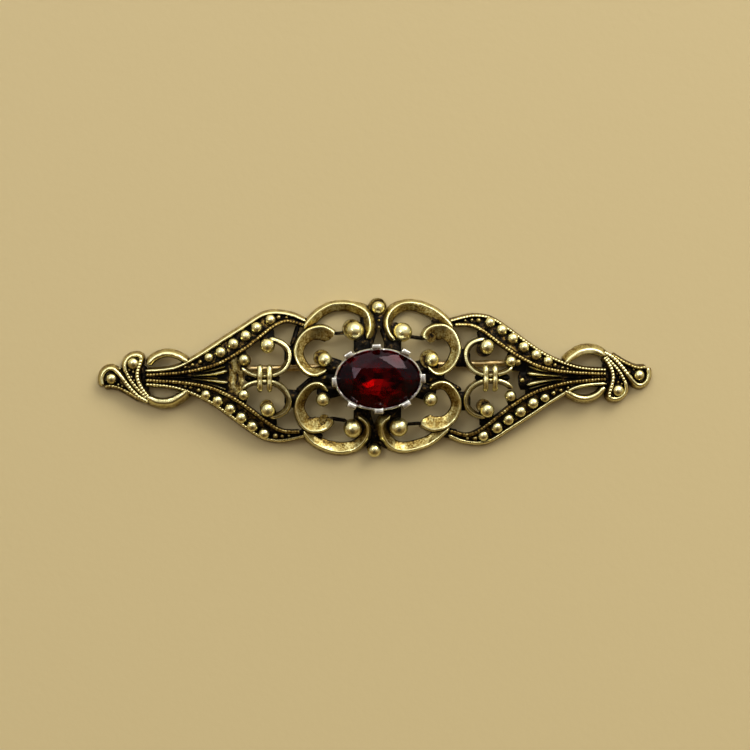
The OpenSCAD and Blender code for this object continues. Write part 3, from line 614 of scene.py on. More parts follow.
@dataclass
class Casting:
    """The pierced gold-tone casting, with all that is soldered to its back, as one fused body."""

    # distance between two stations of a line, of a floor and of a tie bar
    spacing: float = 0.26
    floor_spacing: float = 0.4
    tie_spacing: float = 0.16
    # milgrain: stations to a grain, distance and depth of the grains, and how far down a rim is pinched
    grain_steps: int = 4
    grain_pitch: float = 0.37
    grain_depth: float = 0.13
    grain_reach: float = 0.1
    # length over which a line ends, and the height up to which its ends aren't lowered
    end_round: float = 0.22
    end_foot: float = 0.5
    # webs and floors are lumpy, with so many waves to a millimetre
    web_height: float = 0.66
    web_fine: float = 3.4
    web_broad: float = 1.4
    floor_waves: float = 2.3
    floor_height: float = 0.5
    foot: float = 0.08
    # heights of a small bead's top and of the highest bead's; up to a radius a bead is a small one
    bead_top: float = 1.42
    highest_bead: float = 1.86
    small_bead: float = 0.7
    # how much fuller than tabled a small and a large bead are, and their numbers of sides
    fuller: Row = (1.1, 1.05)
    bead_sides: tuple[int, int] = (20, 26)
    grain_sides: int = 10
    disc_sides: int = 24
    tie_radius: float = 0.32
    tie_end: float = 0.3
    tie_sides: int = 12
    # how far both wings bow towards +Y, as a share of the distance from the middle
    bow: float = 0.0065
    shells: list[bpy.types.Object] = field(default_factory=list)

    def add(self, name: str, build: Build, half: Half = Half.FIXED, shift: float = 0.0) -> None:
        """Builds one closed shell and puts it in its half.

        Both wings bow a little towards +Y, as each piece of the casting lies in the photo.

        Args:
            name: the shell's name.
            build: fills an empty mesh, in metres.
            half: the half that the shell belongs to.
            shift: how far it lies towards +Y on either half, in millimetres.
        """
        mesh = bmesh.new()
        mesh.verts.layers.float.new(WEAR)
        build(mesh)
        if half is Half.FAR:
            bmesh.ops.rotate(mesh, verts=mesh.verts, matrix=Matrix.Rotation(math.pi, 3, "Z"))
        if half is not Half.FIXED:
            for vert in mesh.verts:
                vert.co.y += self.bow * abs(vert.co.x) + shift * MM
        self.shells.append(shell_object(f"{name}_{half.name.lower()}", mesh))

    def milgrain(self, line: Line, at: Station, corner: Corner) -> Corner:
        """Pinches the top of a milgrained rim between two grains, and darkens its walls.

        Args:
            line: the line, milgrained or not.
            at: the place on it.
            corner: a corner of its section.

        Returns:
            The corner as it is there.
        """
        if not line.grained(at.share):
            return corner
        offset, height, wear = corner
        if height <= line.height - self.grain_reach:
            return offset, height, wear * (0.5 + 0.4 * line.rope)
        gap = 1 - abs(math.sin(math.pi * at.along / self.grain_pitch)) ** 0.6
        notch = gap * (1 - line.rope)
        height -= self.grain_depth * gap * (1 - 0.4 * line.rope)
        return offset * (1.08 - 0.34 * notch), height, wear * (1 - 0.75 * notch)

    def ribbon(self, mesh: bmesh.types.BMesh, line: Line) -> None:
        """Sweeps a line's section over the dome, with rounded ends. Webs are lumpy, as cast.

        Args:
            mesh: the mesh that it is added to.
            line: which line.
        """
        spacing = self.spacing if line.grain is None else self.grain_pitch / self.grain_steps
        places = stations(line.rows, spacing)
        length = places[-1].along
        rings, wears = [], []
        for at in places:
            close = 0.45 + 0.55 * round_end(min(1.0, min(at.along, length - at.along) / self.end_round))
            profile = line.flared(at.share).profile(at.breadth)
            middle = (profile[0][0] + profile[-1][0]) / 2
            ring, values = [], []
            for corner in profile:
                offset, height, wear = self.milgrain(line, at, corner)
                offset = line.side * (middle + (offset - middle) * close)
                if height > self.end_foot:
                    height = self.end_foot + (height - self.end_foot) * (0.72 + 0.28 * close)
                x, y = at.x + at.nx * offset, at.y + at.ny * offset
                if line.section is Section.WEB and height > 0.3:
                    fine = lump(x, y, self.web_fine, self.web_fine, 2.0)
                    height += 0.16 * lump(x, y, self.web_broad, self.web_broad, 7.0) + 0.12 * fine
                    wear += 0.9 * max(0.0, fine - 0.2)
                ring.append(DOME.point(x, y, height))
                values.append(wear * line.wear)
            rings.append(ring)
            wears.append(values)
        sweep(mesh, rings, wears)

    def line(self, line: Line, half: Half) -> None:
        """Adds one line of the casting on one half."""
        if half is Half.FAR and line.far is not None:
            line = replace(line, rows=line.far)
        self.add(line.name, partial(self.ribbon, line=line), half, line.shift)

    def floor(self, mesh: bmesh.types.BMesh, between: Sequence[Any]) -> None:
        """Lays a low floor between two lines, a little uneven as cast.

        Args:
            mesh: the mesh that it is added to.
            between: each line's rows, and the shares of it where the floor starts and ends.
        """
        left, l0, l1, right, r0, r1 = between
        a = stations(with_breadth(left, 0.0), self.floor_spacing, l0, l1)
        b = stations(with_breadth(right, 0.0), self.floor_spacing, r0, r1)
        count = max(len(a), len(b))
        across = [(0.0, self.foot), *((t / 5, self.floor_height) for t in range(6)), (1.0, self.foot)]
        rings, wears = [], []
        for k in range(count):
            p = a[round(k * (len(a) - 1) / (count - 1))]
            q = b[round(k * (len(b) - 1) / (count - 1))]
            ring, values = [], []
            for share, height in across:
                x, y = p.x + (q.x - p.x) * share, p.y + (q.y - p.y) * share
                lift = lump(x, y, self.floor_waves, self.floor_waves, 4.0) if height > self.foot else 0.0
                ring.append(DOME.point(x, y, height + 0.08 * lift))
                values.append(max(0.0, 0.36 + 0.5 * lift))
            rings.append(ring)
            wears.append(values)
        sweep(mesh, rings, wears)

    def bead(self, mesh: bmesh.types.BMesh, ball: Round) -> None:
        """Makes a round bead, which is worn less towards its foot.

        Args:
            mesh: the mesh that it is added to.
            ball: the bead, with its top as a height over the casting's back.
        """
        centre = DOME.back(ball.x, ball.y) + ball.top - ball.radius
        made = bmesh.ops.create_uvsphere(
            mesh, u_segments=ball.sides, v_segments=max(6, ball.sides * 5 // 8), radius=ball.radius * MM,
            matrix=Matrix.Translation(Vector((ball.x, ball.y, centre)) * MM),
        )["verts"]
        lows = (min(1.0, max(0.0, 0.85 + (v.co.z / MM - centre) / ball.radius)) for v in made)
        worn(mesh, made, (ball.wear * low for low in lows))

    def drum(self, mesh: bmesh.types.BMesh, disc: Round) -> None:
        """Makes a short round foot, from inside the casting to a height over its back.

        Args:
            mesh: the mesh that it is added to.
            disc: the foot, which tapers a little.
        """
        low = DOME.back(disc.x, disc.y) + 0.14
        high = disc.top + DOME.back(disc.x, disc.y)
        middle = Vector((disc.x, disc.y, (low + high) / 2))
        made = bmesh.ops.create_cone(
            mesh, cap_ends=True, segments=disc.sides, radius1=disc.radius * MM,
            radius2=disc.radius * 0.95 * MM, depth=(high - low) * MM, matrix=Matrix.Translation(middle * MM),
        )["verts"]
        worn(mesh, made, (disc.wear if v.co.z / MM > high - 0.05 else 0.3 * disc.wear for v in made))

    def tie(self, mesh: bmesh.types.BMesh, x: float) -> None:
        """Bends a round bar over the two hearts.

        Args:
            mesh: the mesh that it is added to.
            x: where it lies along the bar.
        """
        run = stations(with_breadth(TIE_RUN, self.tie_radius), self.tie_spacing)
        rings, wears = [], []
        for at in run:
            near = min(1.0, min(at.along, run[-1].along - at.along) / self.tie_end)
            radius = at.breadth * (0.35 + 0.65 * round_end(near))
            radius *= 1 + 0.08 * math.sin(at.along * 5.1)
            ring, values = [], []
            for k in range(self.tie_sides):
                turn = 2 * math.pi * k / self.tie_sides
                side, out = radius * math.cos(turn), radius * math.sin(turn)
                y, height = at.x + at.nx * out, at.y + at.ny * out
                ring.append(Vector((x + side, y, DOME.back(x, y) + max(0.1, height))) * MM)
                values.append(0.95 if height > 0.6 else 0.4)
            rings.append(ring)
            wears.append(values)
        sweep(mesh, rings, wears)

    def ball(self, name: str, row: Row, half: Half) -> None:
        """Adds a bead on its foot.

        Args:
            name: the bead's name.
            row: x, y and radius.
            half: its half of the casting.
        """
        x, y, radius = row
        large = radius > self.small_bead
        sides = self.bead_sides[large]
        top = min(self.highest_bead, self.bead_top + 1.75 * max(0.0, radius - 0.66))
        ball = Round(x, y, radius * self.fuller[large], top, sides, 1.0)
        self.add(name, partial(self.bead, ball=ball), half)
        foot = Round(x, y, radius * 0.97, top - radius, sides, 0.5)
        self.add(f"{name}_foot", partial(self.drum, disc=foot), half)

    def half(self, half: Half) -> None:
        """Adds all of one half of the casting.

        Args:
            half: the near or the far half.
        """
        far = half is Half.FAR
        for line in HALF_LINES:
            self.line(line, half)
        for k, between in enumerate(HALF_FLOORS):
            self.add(f"floor_{k}", partial(self.floor, between=between), half)
        for k, row in enumerate(BEADS + (FAR_BEADS if far else NEAR_BEADS)):
            self.ball(f"bead_{k}", row, half)
        for k, (x, y, radius) in enumerate(GRAINS + (FAR_GRAINS if far else NEAR_GRAINS)):
            grain = Round(x, y, radius, 0.72 + radius, self.grain_sides, 0.7)
            self.add(f"grain_{k}", partial(self.bead, ball=grain), half)
        for k, row in enumerate(WEBS + (FAR_WEBS if far else NEAR_WEBS)):
            self.line(Line(f"web_{k}", Section.WEB, web_rows(*row), height=self.web_height), half)
        for k, (*row, height) in enumerate(STRUTS + (FAR_STRUTS if far else ())):
            self.line(Line(f"strut_{k}", Section.WEB, web_rows(*row), height=height), half)
        for x in TIE_BARS:
            self.add(f"tie_{x}", partial(self.tie, x=x), half)
        self.low_disc("mouth", MOUTH, half)

    def low_disc(self, name: str, row: Row, half: Half) -> None:
        """Adds a low round piece.

        Args:
            name: the piece's name.
            row: x, y, radius, height and wear.
            half: its half of the casting, or in place.
        """
        x, y, radius, height, wear = row
        disc = Round(x, y, radius, height, self.disc_sides, wear)
        self.add(name, partial(self.drum, disc=disc), half)

    def build(self) -> bpy.types.Object:
        """Builds every shell and fuses them.

        Returns:
            The casting, with its relief in a point attribute.
        """
        self.half(Half.NEAR)
        self.half(Half.FAR)
        for k, row in enumerate(COLLARS):
            self.low_disc(f"collar_{k}", row, Half.FIXED)
        Findings().add_to(self)
        body = fuse("antiqued_casting", self.shells)
        LOG.info("fused %s, %d triangles", body.name, triangles(body))
        Relief().paint(body)
        return body


def web_rows(x1: float, y1: float, x2: float, y2: float, breadth: float) -> Rows:
    """Rows of a straight bar that runs a little past its two ends.

    Args:
        x1: x of its first end.
        y1: y of its first end.
        x2: x of its second end.
        y2: y of its second end.
        breadth: its breadth.

    Returns:
        Four rows of x, y and breadth.
    """
    length = math.hypot(x2 - x1, y2 - y1)
    dx, dy = (x2 - x1) / length, (y2 - y1) / length
    over = 0.3 * breadth
    return tuple(
        (x1 + dx * s, y1 + dy * s, breadth) for s in (-over, length * 0.35, length * 0.65, length + over)
    )


@dataclass
class Findings:
    """What is soldered under the casting: the oval seat, the hinge's ears and the catch."""

    # the hinge's pivot, the pin's slant across the bar, and the catch's distance from the pivot
    pivot_x: float = -16.4
    pivot_y: float = 1.08
    pivot_z: float = 0.6
    slant: float = math.radians(1.35)
    catch_at: float = 32.8
    ear_radius: float = 0.5
    ear_thickness: float = 0.45
    seat_half_length: float = 4.85
    seat_half_width: float = 3.5
    wear: float = 0.8
    # the base sheet: distance across the bar, and where its two edges lie along it
    base_rows: Rows = (
        (2.35, -17.25, -15.84), (1.5, -17.25, -15.62), (0.43, -17.25, -15.4), (-0.72, -17.25, -15.5),
        (-1.4, -17.25, -15.8), (-1.95, -17.25, -16.2),
    )

    def on_pin(self, mesh: bmesh.types.BMesh, build: Build, along: float) -> None:
        """Builds a finding in the pin's own frame and moves it to its place under the casting.

        Args:
            mesh: an empty mesh.
            build: fills the mesh.
            along: distance from the pivot along the pin, in millimetres.
        """
        build(mesh)
        turn = Matrix.Rotation(self.slant, 4, "Z")
        place = Matrix.Translation(Vector((self.pivot_x, self.pivot_y, 0.0)) * MM)
        place = place @ turn @ Matrix.Translation((along * MM, 0, 0))
        bmesh.ops.transform(mesh, verts=mesh.verts, matrix=place)

    def block(self, mesh: bmesh.types.BMesh, low: Row, high: Row, soft: float = 0.05) -> None:
        """Makes a block with softened edges.

        Args:
            mesh: an empty mesh.
            low: one corner.
            high: the corner across from it.
            soft: breadth of the softened edges.
        """
        size = [(b - a) * MM for a, b in zip(low, high)]
        middle = Matrix.Translation([(a + b) / 2 * MM for a, b in zip(low, high)])
        bmesh.ops.create_cube(mesh, size=1.0, matrix=middle @ Matrix.Diagonal((*size, 1.0)))
        bmesh.ops.bevel(
            mesh, geom=mesh.edges[:], offset=soft * MM, segments=2, profile=0.5, affect="EDGES", material=-1,
        )
        worn(mesh, mesh.verts, (self.wear for _ in mesh.verts))

    def ear(self, mesh: bmesh.types.BMesh, y: float, plate: float) -> None:
        """Makes one ear of the hinge: a plate with a round end.

        Args:
            mesh: an empty mesh.
            y: where its face towards -Y lies across the pin.
            plate: height of the hinge's plate.
        """
        outline = [(-0.9, plate + 0.2), (0.5, plate + 0.2), (0.5, plate - 0.1)]
        radius = self.ear_radius
        for a in range(0, -181, -20):
            turn = math.radians(a)
            outline.append((radius * math.cos(turn), self.pivot_z + radius * math.sin(turn)))
        outline.append((-0.9, plate - 0.1))
        ring = [mesh.verts.new(Vector((x, y, z)) * MM) for x, z in outline]
        face = mesh.faces.new(ring)
        made = bmesh.ops.extrude_face_region(mesh, geom=[face])["geom"]
        moved = [item for item in made if isinstance(item, bmesh.types.BMVert)]
        bmesh.ops.translate(mesh, verts=moved, vec=(0, self.ear_thickness * MM, 0))
        worn(mesh, mesh.verts, (self.wear for _ in mesh.verts))

    def oval(self, mesh: bmesh.types.BMesh) -> None:
        """Makes the oval seat, open in the middle for the point of the stone.

        Args:
            mesh: an empty mesh.
        """
        # share of the seat's half length and half width, and height
        profile = [(1.0, 1.73), (1.0, 2.5), (0.985, 2.56), (0.62, 2.56), (0.6, 2.5), (0.6, 1.73)]
        rings = []
        for k in range(64):
            turn = 2 * math.pi * k / 64
            x, y = self.seat_half_length * math.cos(turn), self.seat_half_width * math.sin(turn)
            rings.append([Vector((x * s, y * s, z)) * MM for s, z in profile])
        loop(mesh, rings)
        worn(mesh, mesh.verts, (0.2 for _ in mesh.verts))

    def base(self, mesh: bmesh.types.BMesh, plate: float) -> None:
        """Makes the hinge's bent base sheet.

        Args:
            mesh: an empty mesh.
            plate: height of its flat lower side.
        """
        rings, wears = [], []
        for at in stations(self.base_rows, 0.16):
            y, left, right = at.x, at.y, at.breadth
            ring = [Vector((left, y, plate)), Vector((right, y, plate))]
            values = [0.3, 0.3]
            for k in range(12):
                x = right + (left - right) * k / 11
                fold = lump(x, y, 1.9, 1.1, 3.0) + 0.5 * lump(x, y, 4.5, 3.0, 9.0)
                ring.append(Vector((x, y, plate + 0.14 + 0.09 * fold)))
                values.append(0.56 + 0.5 * fold)
            rings.append([point * MM for point in ring])
            wears.append(values)
        sweep(mesh, rings, wears)

    def add_to(self, casting: Casting) -> None:
        """Adds every finding to the casting's shells.

        Args:
            casting: the casting, not yet fused.
        """
        plate = DOME.back(self.pivot_x, self.pivot_y) - 0.12
        under = plate + 0.1
        casting.add("seat", self.oval)
        casting.add("hinge_base", partial(self.base, plate=plate + 0.16))
        hinge = partial(self.block, low=(-2.3, -1.0, plate), high=(0.5, 1.0, plate + 0.2))
        casting.add("hinge_plate", partial(self.on_pin, build=hinge, along=0.0))
        for y in (-0.91, 0.46):
            ear = partial(self.ear, y=y, plate=plate)
            casting.add(f"ear_{y}", partial(self.on_pin, build=ear, along=0.0))
        for name, low, high, soft in (
            ("catch_plate", (-0.9, -1.0, plate), (2.3, 1.0, plate + 0.36), 0.05),
            ("catch_side_-0.85", (-0.45, -0.85, 0.12), (0.45, -0.45, under), 0.08),
            ("catch_side_0.45", (-0.45, 0.45, 0.12), (0.45, 0.85, under), 0.08),
            ("catch_top", (-0.45, -0.8, 1.15), (0.45, 0.8, under), 0.04),
        ):
            block = partial(self.block, low=low, high=high, soft=soft)
            casting.add(name, partial(self.on_pin, build=block, along=self.catch_at))


def loop(mesh: bmesh.types.BMesh, rings: Sequence[Sequence[Vector]]) -> None:
    """Bridges rings of the same number of points into a closed hoop.

    Args:
        mesh: the mesh that it is added to.
        rings: the section's corners round the hoop, in metres, without the first again.
    """
    count = len(rings[0])
    loops = []
    for points in rings:
        ring = [mesh.verts.new(point) for point in points]
        loops.append([mesh.edges.new((ring[k], ring[(k + 1) % count])) for k in range(count)])
    for k, edges in enumerate(loops):
        bmesh.ops.bridge_loops(mesh, edges=edges + loops[(k + 1) % len(loops)])


def fuse(name: str, shells: Sequence[bpy.types.Object]) -> bpy.types.Object:
    """Fuses closed shells into one body.

    Args:
        name: the body's name.
        shells: the shells, which are removed.

    Returns:
        The fused body.
    """
    others = bpy.data.collections.new("to_fuse")
    for shell in shells[1:]:
        others.objects.link(shell)
    union = shells[0].modifiers.new("fuse", "BOOLEAN")
    union.operation = "UNION"
    union.operand_type = "COLLECTION"
    union.collection = others
    union.solver = "MANIFOLD"
    depsgraph = bpy.context.evaluated_depsgraph_get()
    data = bpy.data.meshes.new_from_object(shells[0].evaluated_get(depsgraph))
    for shell in shells:
        old = shell.data
        bpy.data.objects.remove(shell)
        bpy.data.meshes.remove(old)
    bpy.data.collections.remove(others)
    data.name = name
    data.materials.clear()
    return link_object(name, data)


def triangles(obj: bpy.types.Object) -> int:
    """Number of triangles that an object's mesh has."""
    return sum(len(face.vertices) - 2 for face in obj.data.polygons)


@dataclass(frozen=True)
class Relief:
    """How bright each spot of the casting is rubbed, from 0 in a recess to 1 on a high spot."""

    # how far a wall darkens what is beside it, in millimetres
    reach: float = 1.3
    lift: float = 0.015
    rays: int = 24
    quick_rays: int = 10
    golden_turn: float = 2.399963
    # shares of open sky from which a spot is rubbed, and over which it gets as bright as it can
    closed: float = 0.25
    opening: float = 0.5
    # what a spot that is quite closed in keeps of its wear, and what one that the fusing has cut gets
    least: float = 0.45
    cut: float = 0.5
    # faces that look down further than this are the plain back, which is rubbed evenly
    back_below: float = -0.6
    plain_back: float = 0.62

    def directions(self) -> list[Vector]:
        """Spreads rays over a half sphere round +Z, closer together near its top.
        """
        count = self.rays
        out = []
        for k in range(count):
            share = (k + 0.5) / count
            turn = k * self.golden_turn
            flat = math.sqrt(share)
            out.append(Vector((flat * math.cos(turn), flat * math.sin(turn), math.sqrt(1 - share))))
        return out

    def sky(self, tree: BVHTree, vert: bmesh.types.BMVert, rays: Sequence[Vector]) -> float:
        """How open a spot is.

        Args:
            tree: the casting, for the rays to hit.
            vert: the spot.
            rays: directions round +Z.

        Returns:
            0 where it is closed in, and 1 from a share of open sky on.
        """
        reach = self.reach * MM
        turn = Vector((0, 0, 1)).rotation_difference(vert.normal).to_matrix()
        origin = vert.co + vert.normal * self.lift * MM
        shut = 0.0
        for ray in rays:
            hit = tree.ray_cast(origin, turn @ ray, reach)
            if hit[0] is not None:
                shut += 1.0 - hit[3] / reach
        return max(0.0, min(1.0, (1.0 - shut / len(rays) - self.closed) / self.opening))

    def paint(self, body: bpy.types.Object) -> None:
        """Writes the relief into a point attribute.

        Args:
            body: the fused casting.
        """
        data = body.data
        mesh = bmesh.new()
        mesh.from_mesh(data)
        bmesh.ops.triangulate(mesh, faces=mesh.faces)
        mesh.normal_update()
        tree = BVHTree.FromBMesh(mesh)
        rays = self.directions()
        layer = mesh.verts.layers.float[WEAR]
        values = []
        for vert in mesh.verts:
            wear = vert[layer]
            if wear == 0.0:
                near = [edge.other_vert(vert)[layer] for edge in vert.link_edges]
                wear = self.cut * sum(near) / len(near)
            seen = self.least + (1 - self.least) * self.sky(tree, vert, rays)
            values.append(self.plain_back if vert.normal.z < self.back_below else wear * seen)
        mesh.free()
        data.attributes.remove(data.attributes[WEAR])
        relief = data.attributes.new(RELIEF, "FLOAT", "POINT")
        relief.data.foreach_set("value", values)


def linear(code: str) -> tuple[float, float, float, float]:
    """Linear colour of an sRGB hex code, with full alpha."""
    parts = [int(code[k:k + 2], 16) / 255 for k in (1, 3, 5)]
    red, green, blue = (c / 12.92 if c <= 0.04045 else ((c + 0.055) / 1.055) ** 2.4 for c in parts)
    return red, green, blue, 1.0


def add(
    tree: bpy.types.NodeTree, kind: str, inputs: dict[Any, Any] | None = None,
    stops: Sequence[tuple[float, str]] = (), **settings: Any,
) -> bpy.types.Node:
    """Adds a node with its settings and links.

    Args:
        tree: the node tree.
        kind: the node's type name.
        inputs: socket name or number to a value, or to the output that is linked to it.
        stops: places and sRGB colours of a colour ramp, two or more.
        settings: the node's own properties.

    Returns:
        The node.
    """
    made = tree.nodes.new(kind)
    for key, value in settings.items():
        setattr(made, key, value)
    for socket, value in (inputs or {}).items():
        if isinstance(value, bpy.types.NodeSocket):
            tree.links.new(value, made.inputs[socket])
        else:
            made.inputs[socket].default_value = value
    if stops:
        elements = made.color_ramp.elements
        while len(elements) < len(stops):
            elements.new(0.5)
        for element, (place, code) in zip(elements, stops):
            element.position = place
            element.color = linear(code)
    return made


def scale_for(size: float) -> float:
    """Scale of a pattern on object coordinates whose spots are of a size in millimetres."""
    return 1 / (size * MM)


@dataclass(frozen=True)
class Finish:
    """What every finish has: a name, and a shader that it builds from its own colours and sizes."""

    name: str

    def shader(self, tree: bpy.types.NodeTree) -> bpy.types.Node:
        """Builds the finish's nodes in a tree, up to its shader."""
        raise NotImplementedError

    def make(self) -> bpy.types.Material:
        """Builds the material.

        Returns:
            The material, with its shader linked to its surface.
        """
        material = bpy.data.materials.new(self.name)
        material.use_nodes = True
        tree = material.node_tree
        tree.nodes.clear()
        shader = self.shader(tree)
        add(tree, "ShaderNodeOutputMaterial", {"Surface": shader.outputs["BSDF"]})
        return material


@dataclass(frozen=True)
class AntiquedGold(Finish):
    """Gold-plated zinc casting, blackened and rubbed back.

    The eye sees black recesses, brown slopes and bright, pale yellow tops, which the hand has rubbed
    unevenly. The black is a dull oxide, so the metal fades out and turns rough towards it.
    """

    name: str = "antiqued_gold_plate"
    oxide: str = "#070605"
    soot: str = "#120E07"
    brown: str = "#402E10"
    dull: str = "#866F36"
    gold: str = "#BBAF74"
    bright: str = "#E6DFA8"
    # Sizes in millimetres: blotches where it was rubbed, the cast's pits, and waves of the worn tops.
    # Most pits are finer than this. They are drawn as coarse as they need to be to show.
    blotch_size: float = 0.8
    pit_size: float = 1 / 4.8
    wave_size: float = 1 / 0.9
    blotch_depth: float = 0.7
    pit_depth: float = 0.9

    def shader(self, tree: bpy.types.NodeTree) -> bpy.types.Node:
        """Builds the finish's nodes.

        Args:
            tree: the material's empty node tree.

        Returns:
            The shader.
        """
        place = add(tree, "ShaderNodeTexCoord").outputs["Object"]
        relief = add(tree, "ShaderNodeAttribute", attribute_name=RELIEF).outputs["Fac"]
        blotches = add(tree, "ShaderNodeTexNoise", {
            "Vector": place, "Scale": scale_for(self.blotch_size), "Detail": 2.0,
        }).outputs["Fac"]
        pits = add(tree, "ShaderNodeTexNoise", {
            "Vector": place, "Scale": scale_for(self.pit_size), "Detail": 3.0,
        }).outputs["Fac"]
        waves = add(tree, "ShaderNodeTexNoise", {
            "Vector": place, "Scale": scale_for(self.wave_size), "Detail": 1.0,
        }).outputs["Fac"]
        # both patterns, centred on 0, are added to the relief, and least where it is rubbed brightest
        broad = add(tree, "ShaderNodeMath", {
            0: blotches, 1: self.blotch_depth, 2: -self.blotch_depth / 2,
        }, operation="MULTIPLY_ADD").outputs[0]
        fine = add(tree, "ShaderNodeMath", {
            0: pits, 1: self.pit_depth, 2: -self.pit_depth / 2,
        }, operation="MULTIPLY_ADD").outputs[0]
        both = add(tree, "ShaderNodeMath", {0: fine, 1: broad}, operation="ADD").outputs[0]
        keep = add(tree, "ShaderNodeMapRange", {
            "Value": relief, "From Min": 0.6, "From Max": 0.95, "To Min": 1.0, "To Max": 0.3,
        }).outputs["Result"]
        uneven = add(tree, "ShaderNodeMath", {
            0: both, 1: keep, 2: relief,
        }, operation="MULTIPLY_ADD").outputs[0]
        rubbed = add(tree, "ShaderNodeClamp", {"Value": uneven}).outputs[0]
        colour = add(tree, "ShaderNodeValToRGB", {"Fac": rubbed}, (
            (0.1, self.oxide), (0.24, self.soot), (0.38, self.brown), (0.56, self.dull), (0.74, self.gold),
            (0.95, self.bright),
        ))
        metal = add(tree, "ShaderNodeMapRange", {
            "Value": rubbed, "From Min": 0.25, "From Max": 0.5, "To Min": 0.3, "To Max": 1.0,
        })
        rough = add(tree, "ShaderNodeMapRange", {
            "Value": rubbed, "From Min": 0.3, "From Max": 0.9, "To Min": 0.5, "To Max": 0.27,
        })
        sheen = add(tree, "ShaderNodeMapRange", {
            "Value": rubbed, "From Min": 0.2, "From Max": 0.5, "To Min": 0.06, "To Max": 0.5,
        })
        pitted = add(tree, "ShaderNodeBump", {"Height": pits, "Strength": 0.28, "Distance": 0.06 * MM})
        wavy = add(tree, "ShaderNodeBump", {
            "Height": waves, "Strength": 0.35, "Distance": 0.3 * MM, "Normal": pitted.outputs["Normal"],
        })
        return add(tree, "ShaderNodeBsdfPrincipled", {
            "Base Color": colour.outputs["Color"], "Metallic": metal.outputs["Result"],
            "Roughness": rough.outputs["Result"], "Specular IOR Level": sheen.outputs["Result"],
            "Normal": wavy.outputs["Normal"],
        })


@dataclass(frozen=True)
class PlainMetal(Finish):
    """Bright plate that was never blackened, on the setting's cup and on the drawn wire.

    The eye sees a soft mirror of the room, with a faint grain that keeps its glints from being clean. The
    real grain is finer than a pixel. It is drawn as coarse as it needs to be to show.
    """

    colour: str
    shade: str
    roughness: float
    # size and depth of the grain, in millimetres
    grain_size: float = 1 / 2.6
    grain_depth: float = 0.04

    def shader(self, tree: bpy.types.NodeTree) -> bpy.types.Node:
        """Builds the finish's nodes.

        Args:
            tree: the material's empty node tree.

        Returns:
            The shader.
        """
        place = add(tree, "ShaderNodeTexCoord").outputs["Object"]
        grain = add(tree, "ShaderNodeTexNoise", {
            "Vector": place, "Scale": scale_for(self.grain_size), "Detail": 3.0,
        }).outputs["Fac"]
        colour = add(tree, "ShaderNodeValToRGB", {"Fac": grain}, ((0.3, self.shade), (0.6, self.colour)))
        rough = add(tree, "ShaderNodeMapRange", {
            "Value": grain, "To Min": self.roughness + 0.08, "To Max": self.roughness - 0.06,
        })
        bump = add(tree, "ShaderNodeBump", {
            "Height": grain, "Strength": 0.3, "Distance": self.grain_depth * MM,
        })
        return add(tree, "ShaderNodeBsdfPrincipled", {
            "Base Color": colour.outputs["Color"], "Metallic": 1.0,
            "Roughness": rough.outputs["Result"], "Normal": bump.outputs["Normal"],
        })


@dataclass(frozen=True)
class RedGlass(Finish):
    """Pressed and fire-polished deep red glass.

    The eye sees sharp, cool glints on the facets, and between them the foil, red through the colour.
    """

    name: str = "deep_red_glass"
    colour: str = "#B01018"
    glint: str = "#80727E"
    roughness: float = 0.015
    ior: float = 1.58

    def shader(self, tree: bpy.types.NodeTree) -> bpy.types.Node:
        """Builds the shader."""
        return add(tree, "ShaderNodeBsdfPrincipled", {
            "Base Color": linear(self.colour), "Roughness": self.roughness, "IOR": self.ior,
            "Transmission Weight": 1.0, "Specular Tint": linear(self.glint),
        })


@dataclass(frozen=True)
class StoneFoil(Finish):
    """The mirror film on the back of a foiled stone, which sends the light back out through the glass."""

    name: str = "foil_back"
    colour: str = "#82302A"
    roughness: float = 0.15

    def shader(self, tree: bpy.types.NodeTree) -> bpy.types.Node:
        """Builds the shader."""
        return add(tree, "ShaderNodeBsdfPrincipled", {
            "Base Color": linear(self.colour), "Metallic": 1.0, "Roughness": self.roughness,
        })


@dataclass(frozen=True)
class PaleSheet(Finish):
    """A moulded plastic sheet, which the brooch lies on.

    The eye sees a smooth, matt beige with soft shadows, and a grain that barely shows. The real grain is
    finer, and is drawn as coarse as it needs to be to show.
    """

    name: str = "beige_moulded_sheet"
    colour: str = "#C3B488"
    roughness: float = 0.5
    # size and depth of the moulded grain, in millimetres
    grain_size: float = 1 / 1.1
    grain_depth: float = 0.2

    def shader(self, tree: bpy.types.NodeTree) -> bpy.types.Node:
        """Builds the finish's nodes.

        Args:
            tree: the material's empty node tree.

        Returns:
            The shader.
        """
        place = add(tree, "ShaderNodeTexCoord").outputs["Object"]
        grain = add(tree, "ShaderNodeTexNoise", {
            "Vector": place, "Scale": scale_for(self.grain_size), "Detail": 2.0,
        }).outputs["Fac"]
        bump = add(tree, "ShaderNodeBump", {
            "Height": grain, "Strength": 0.1, "Distance": self.grain_depth * MM,
        })
        return add(tree, "ShaderNodeBsdfPrincipled", {
            "Base Color": linear(self.colour), "Roughness": self.roughness, "Normal": bump.outputs["Normal"],
        })


def smooth_by_angle(obj: bpy.types.Object, degrees: float) -> None:
    """Shades an object smooth, with sharp edges where two faces meet at more than an angle."""
    obj.data.shade_smooth()
    obj.data.set_sharp_from_angle(angle=math.radians(degrees))


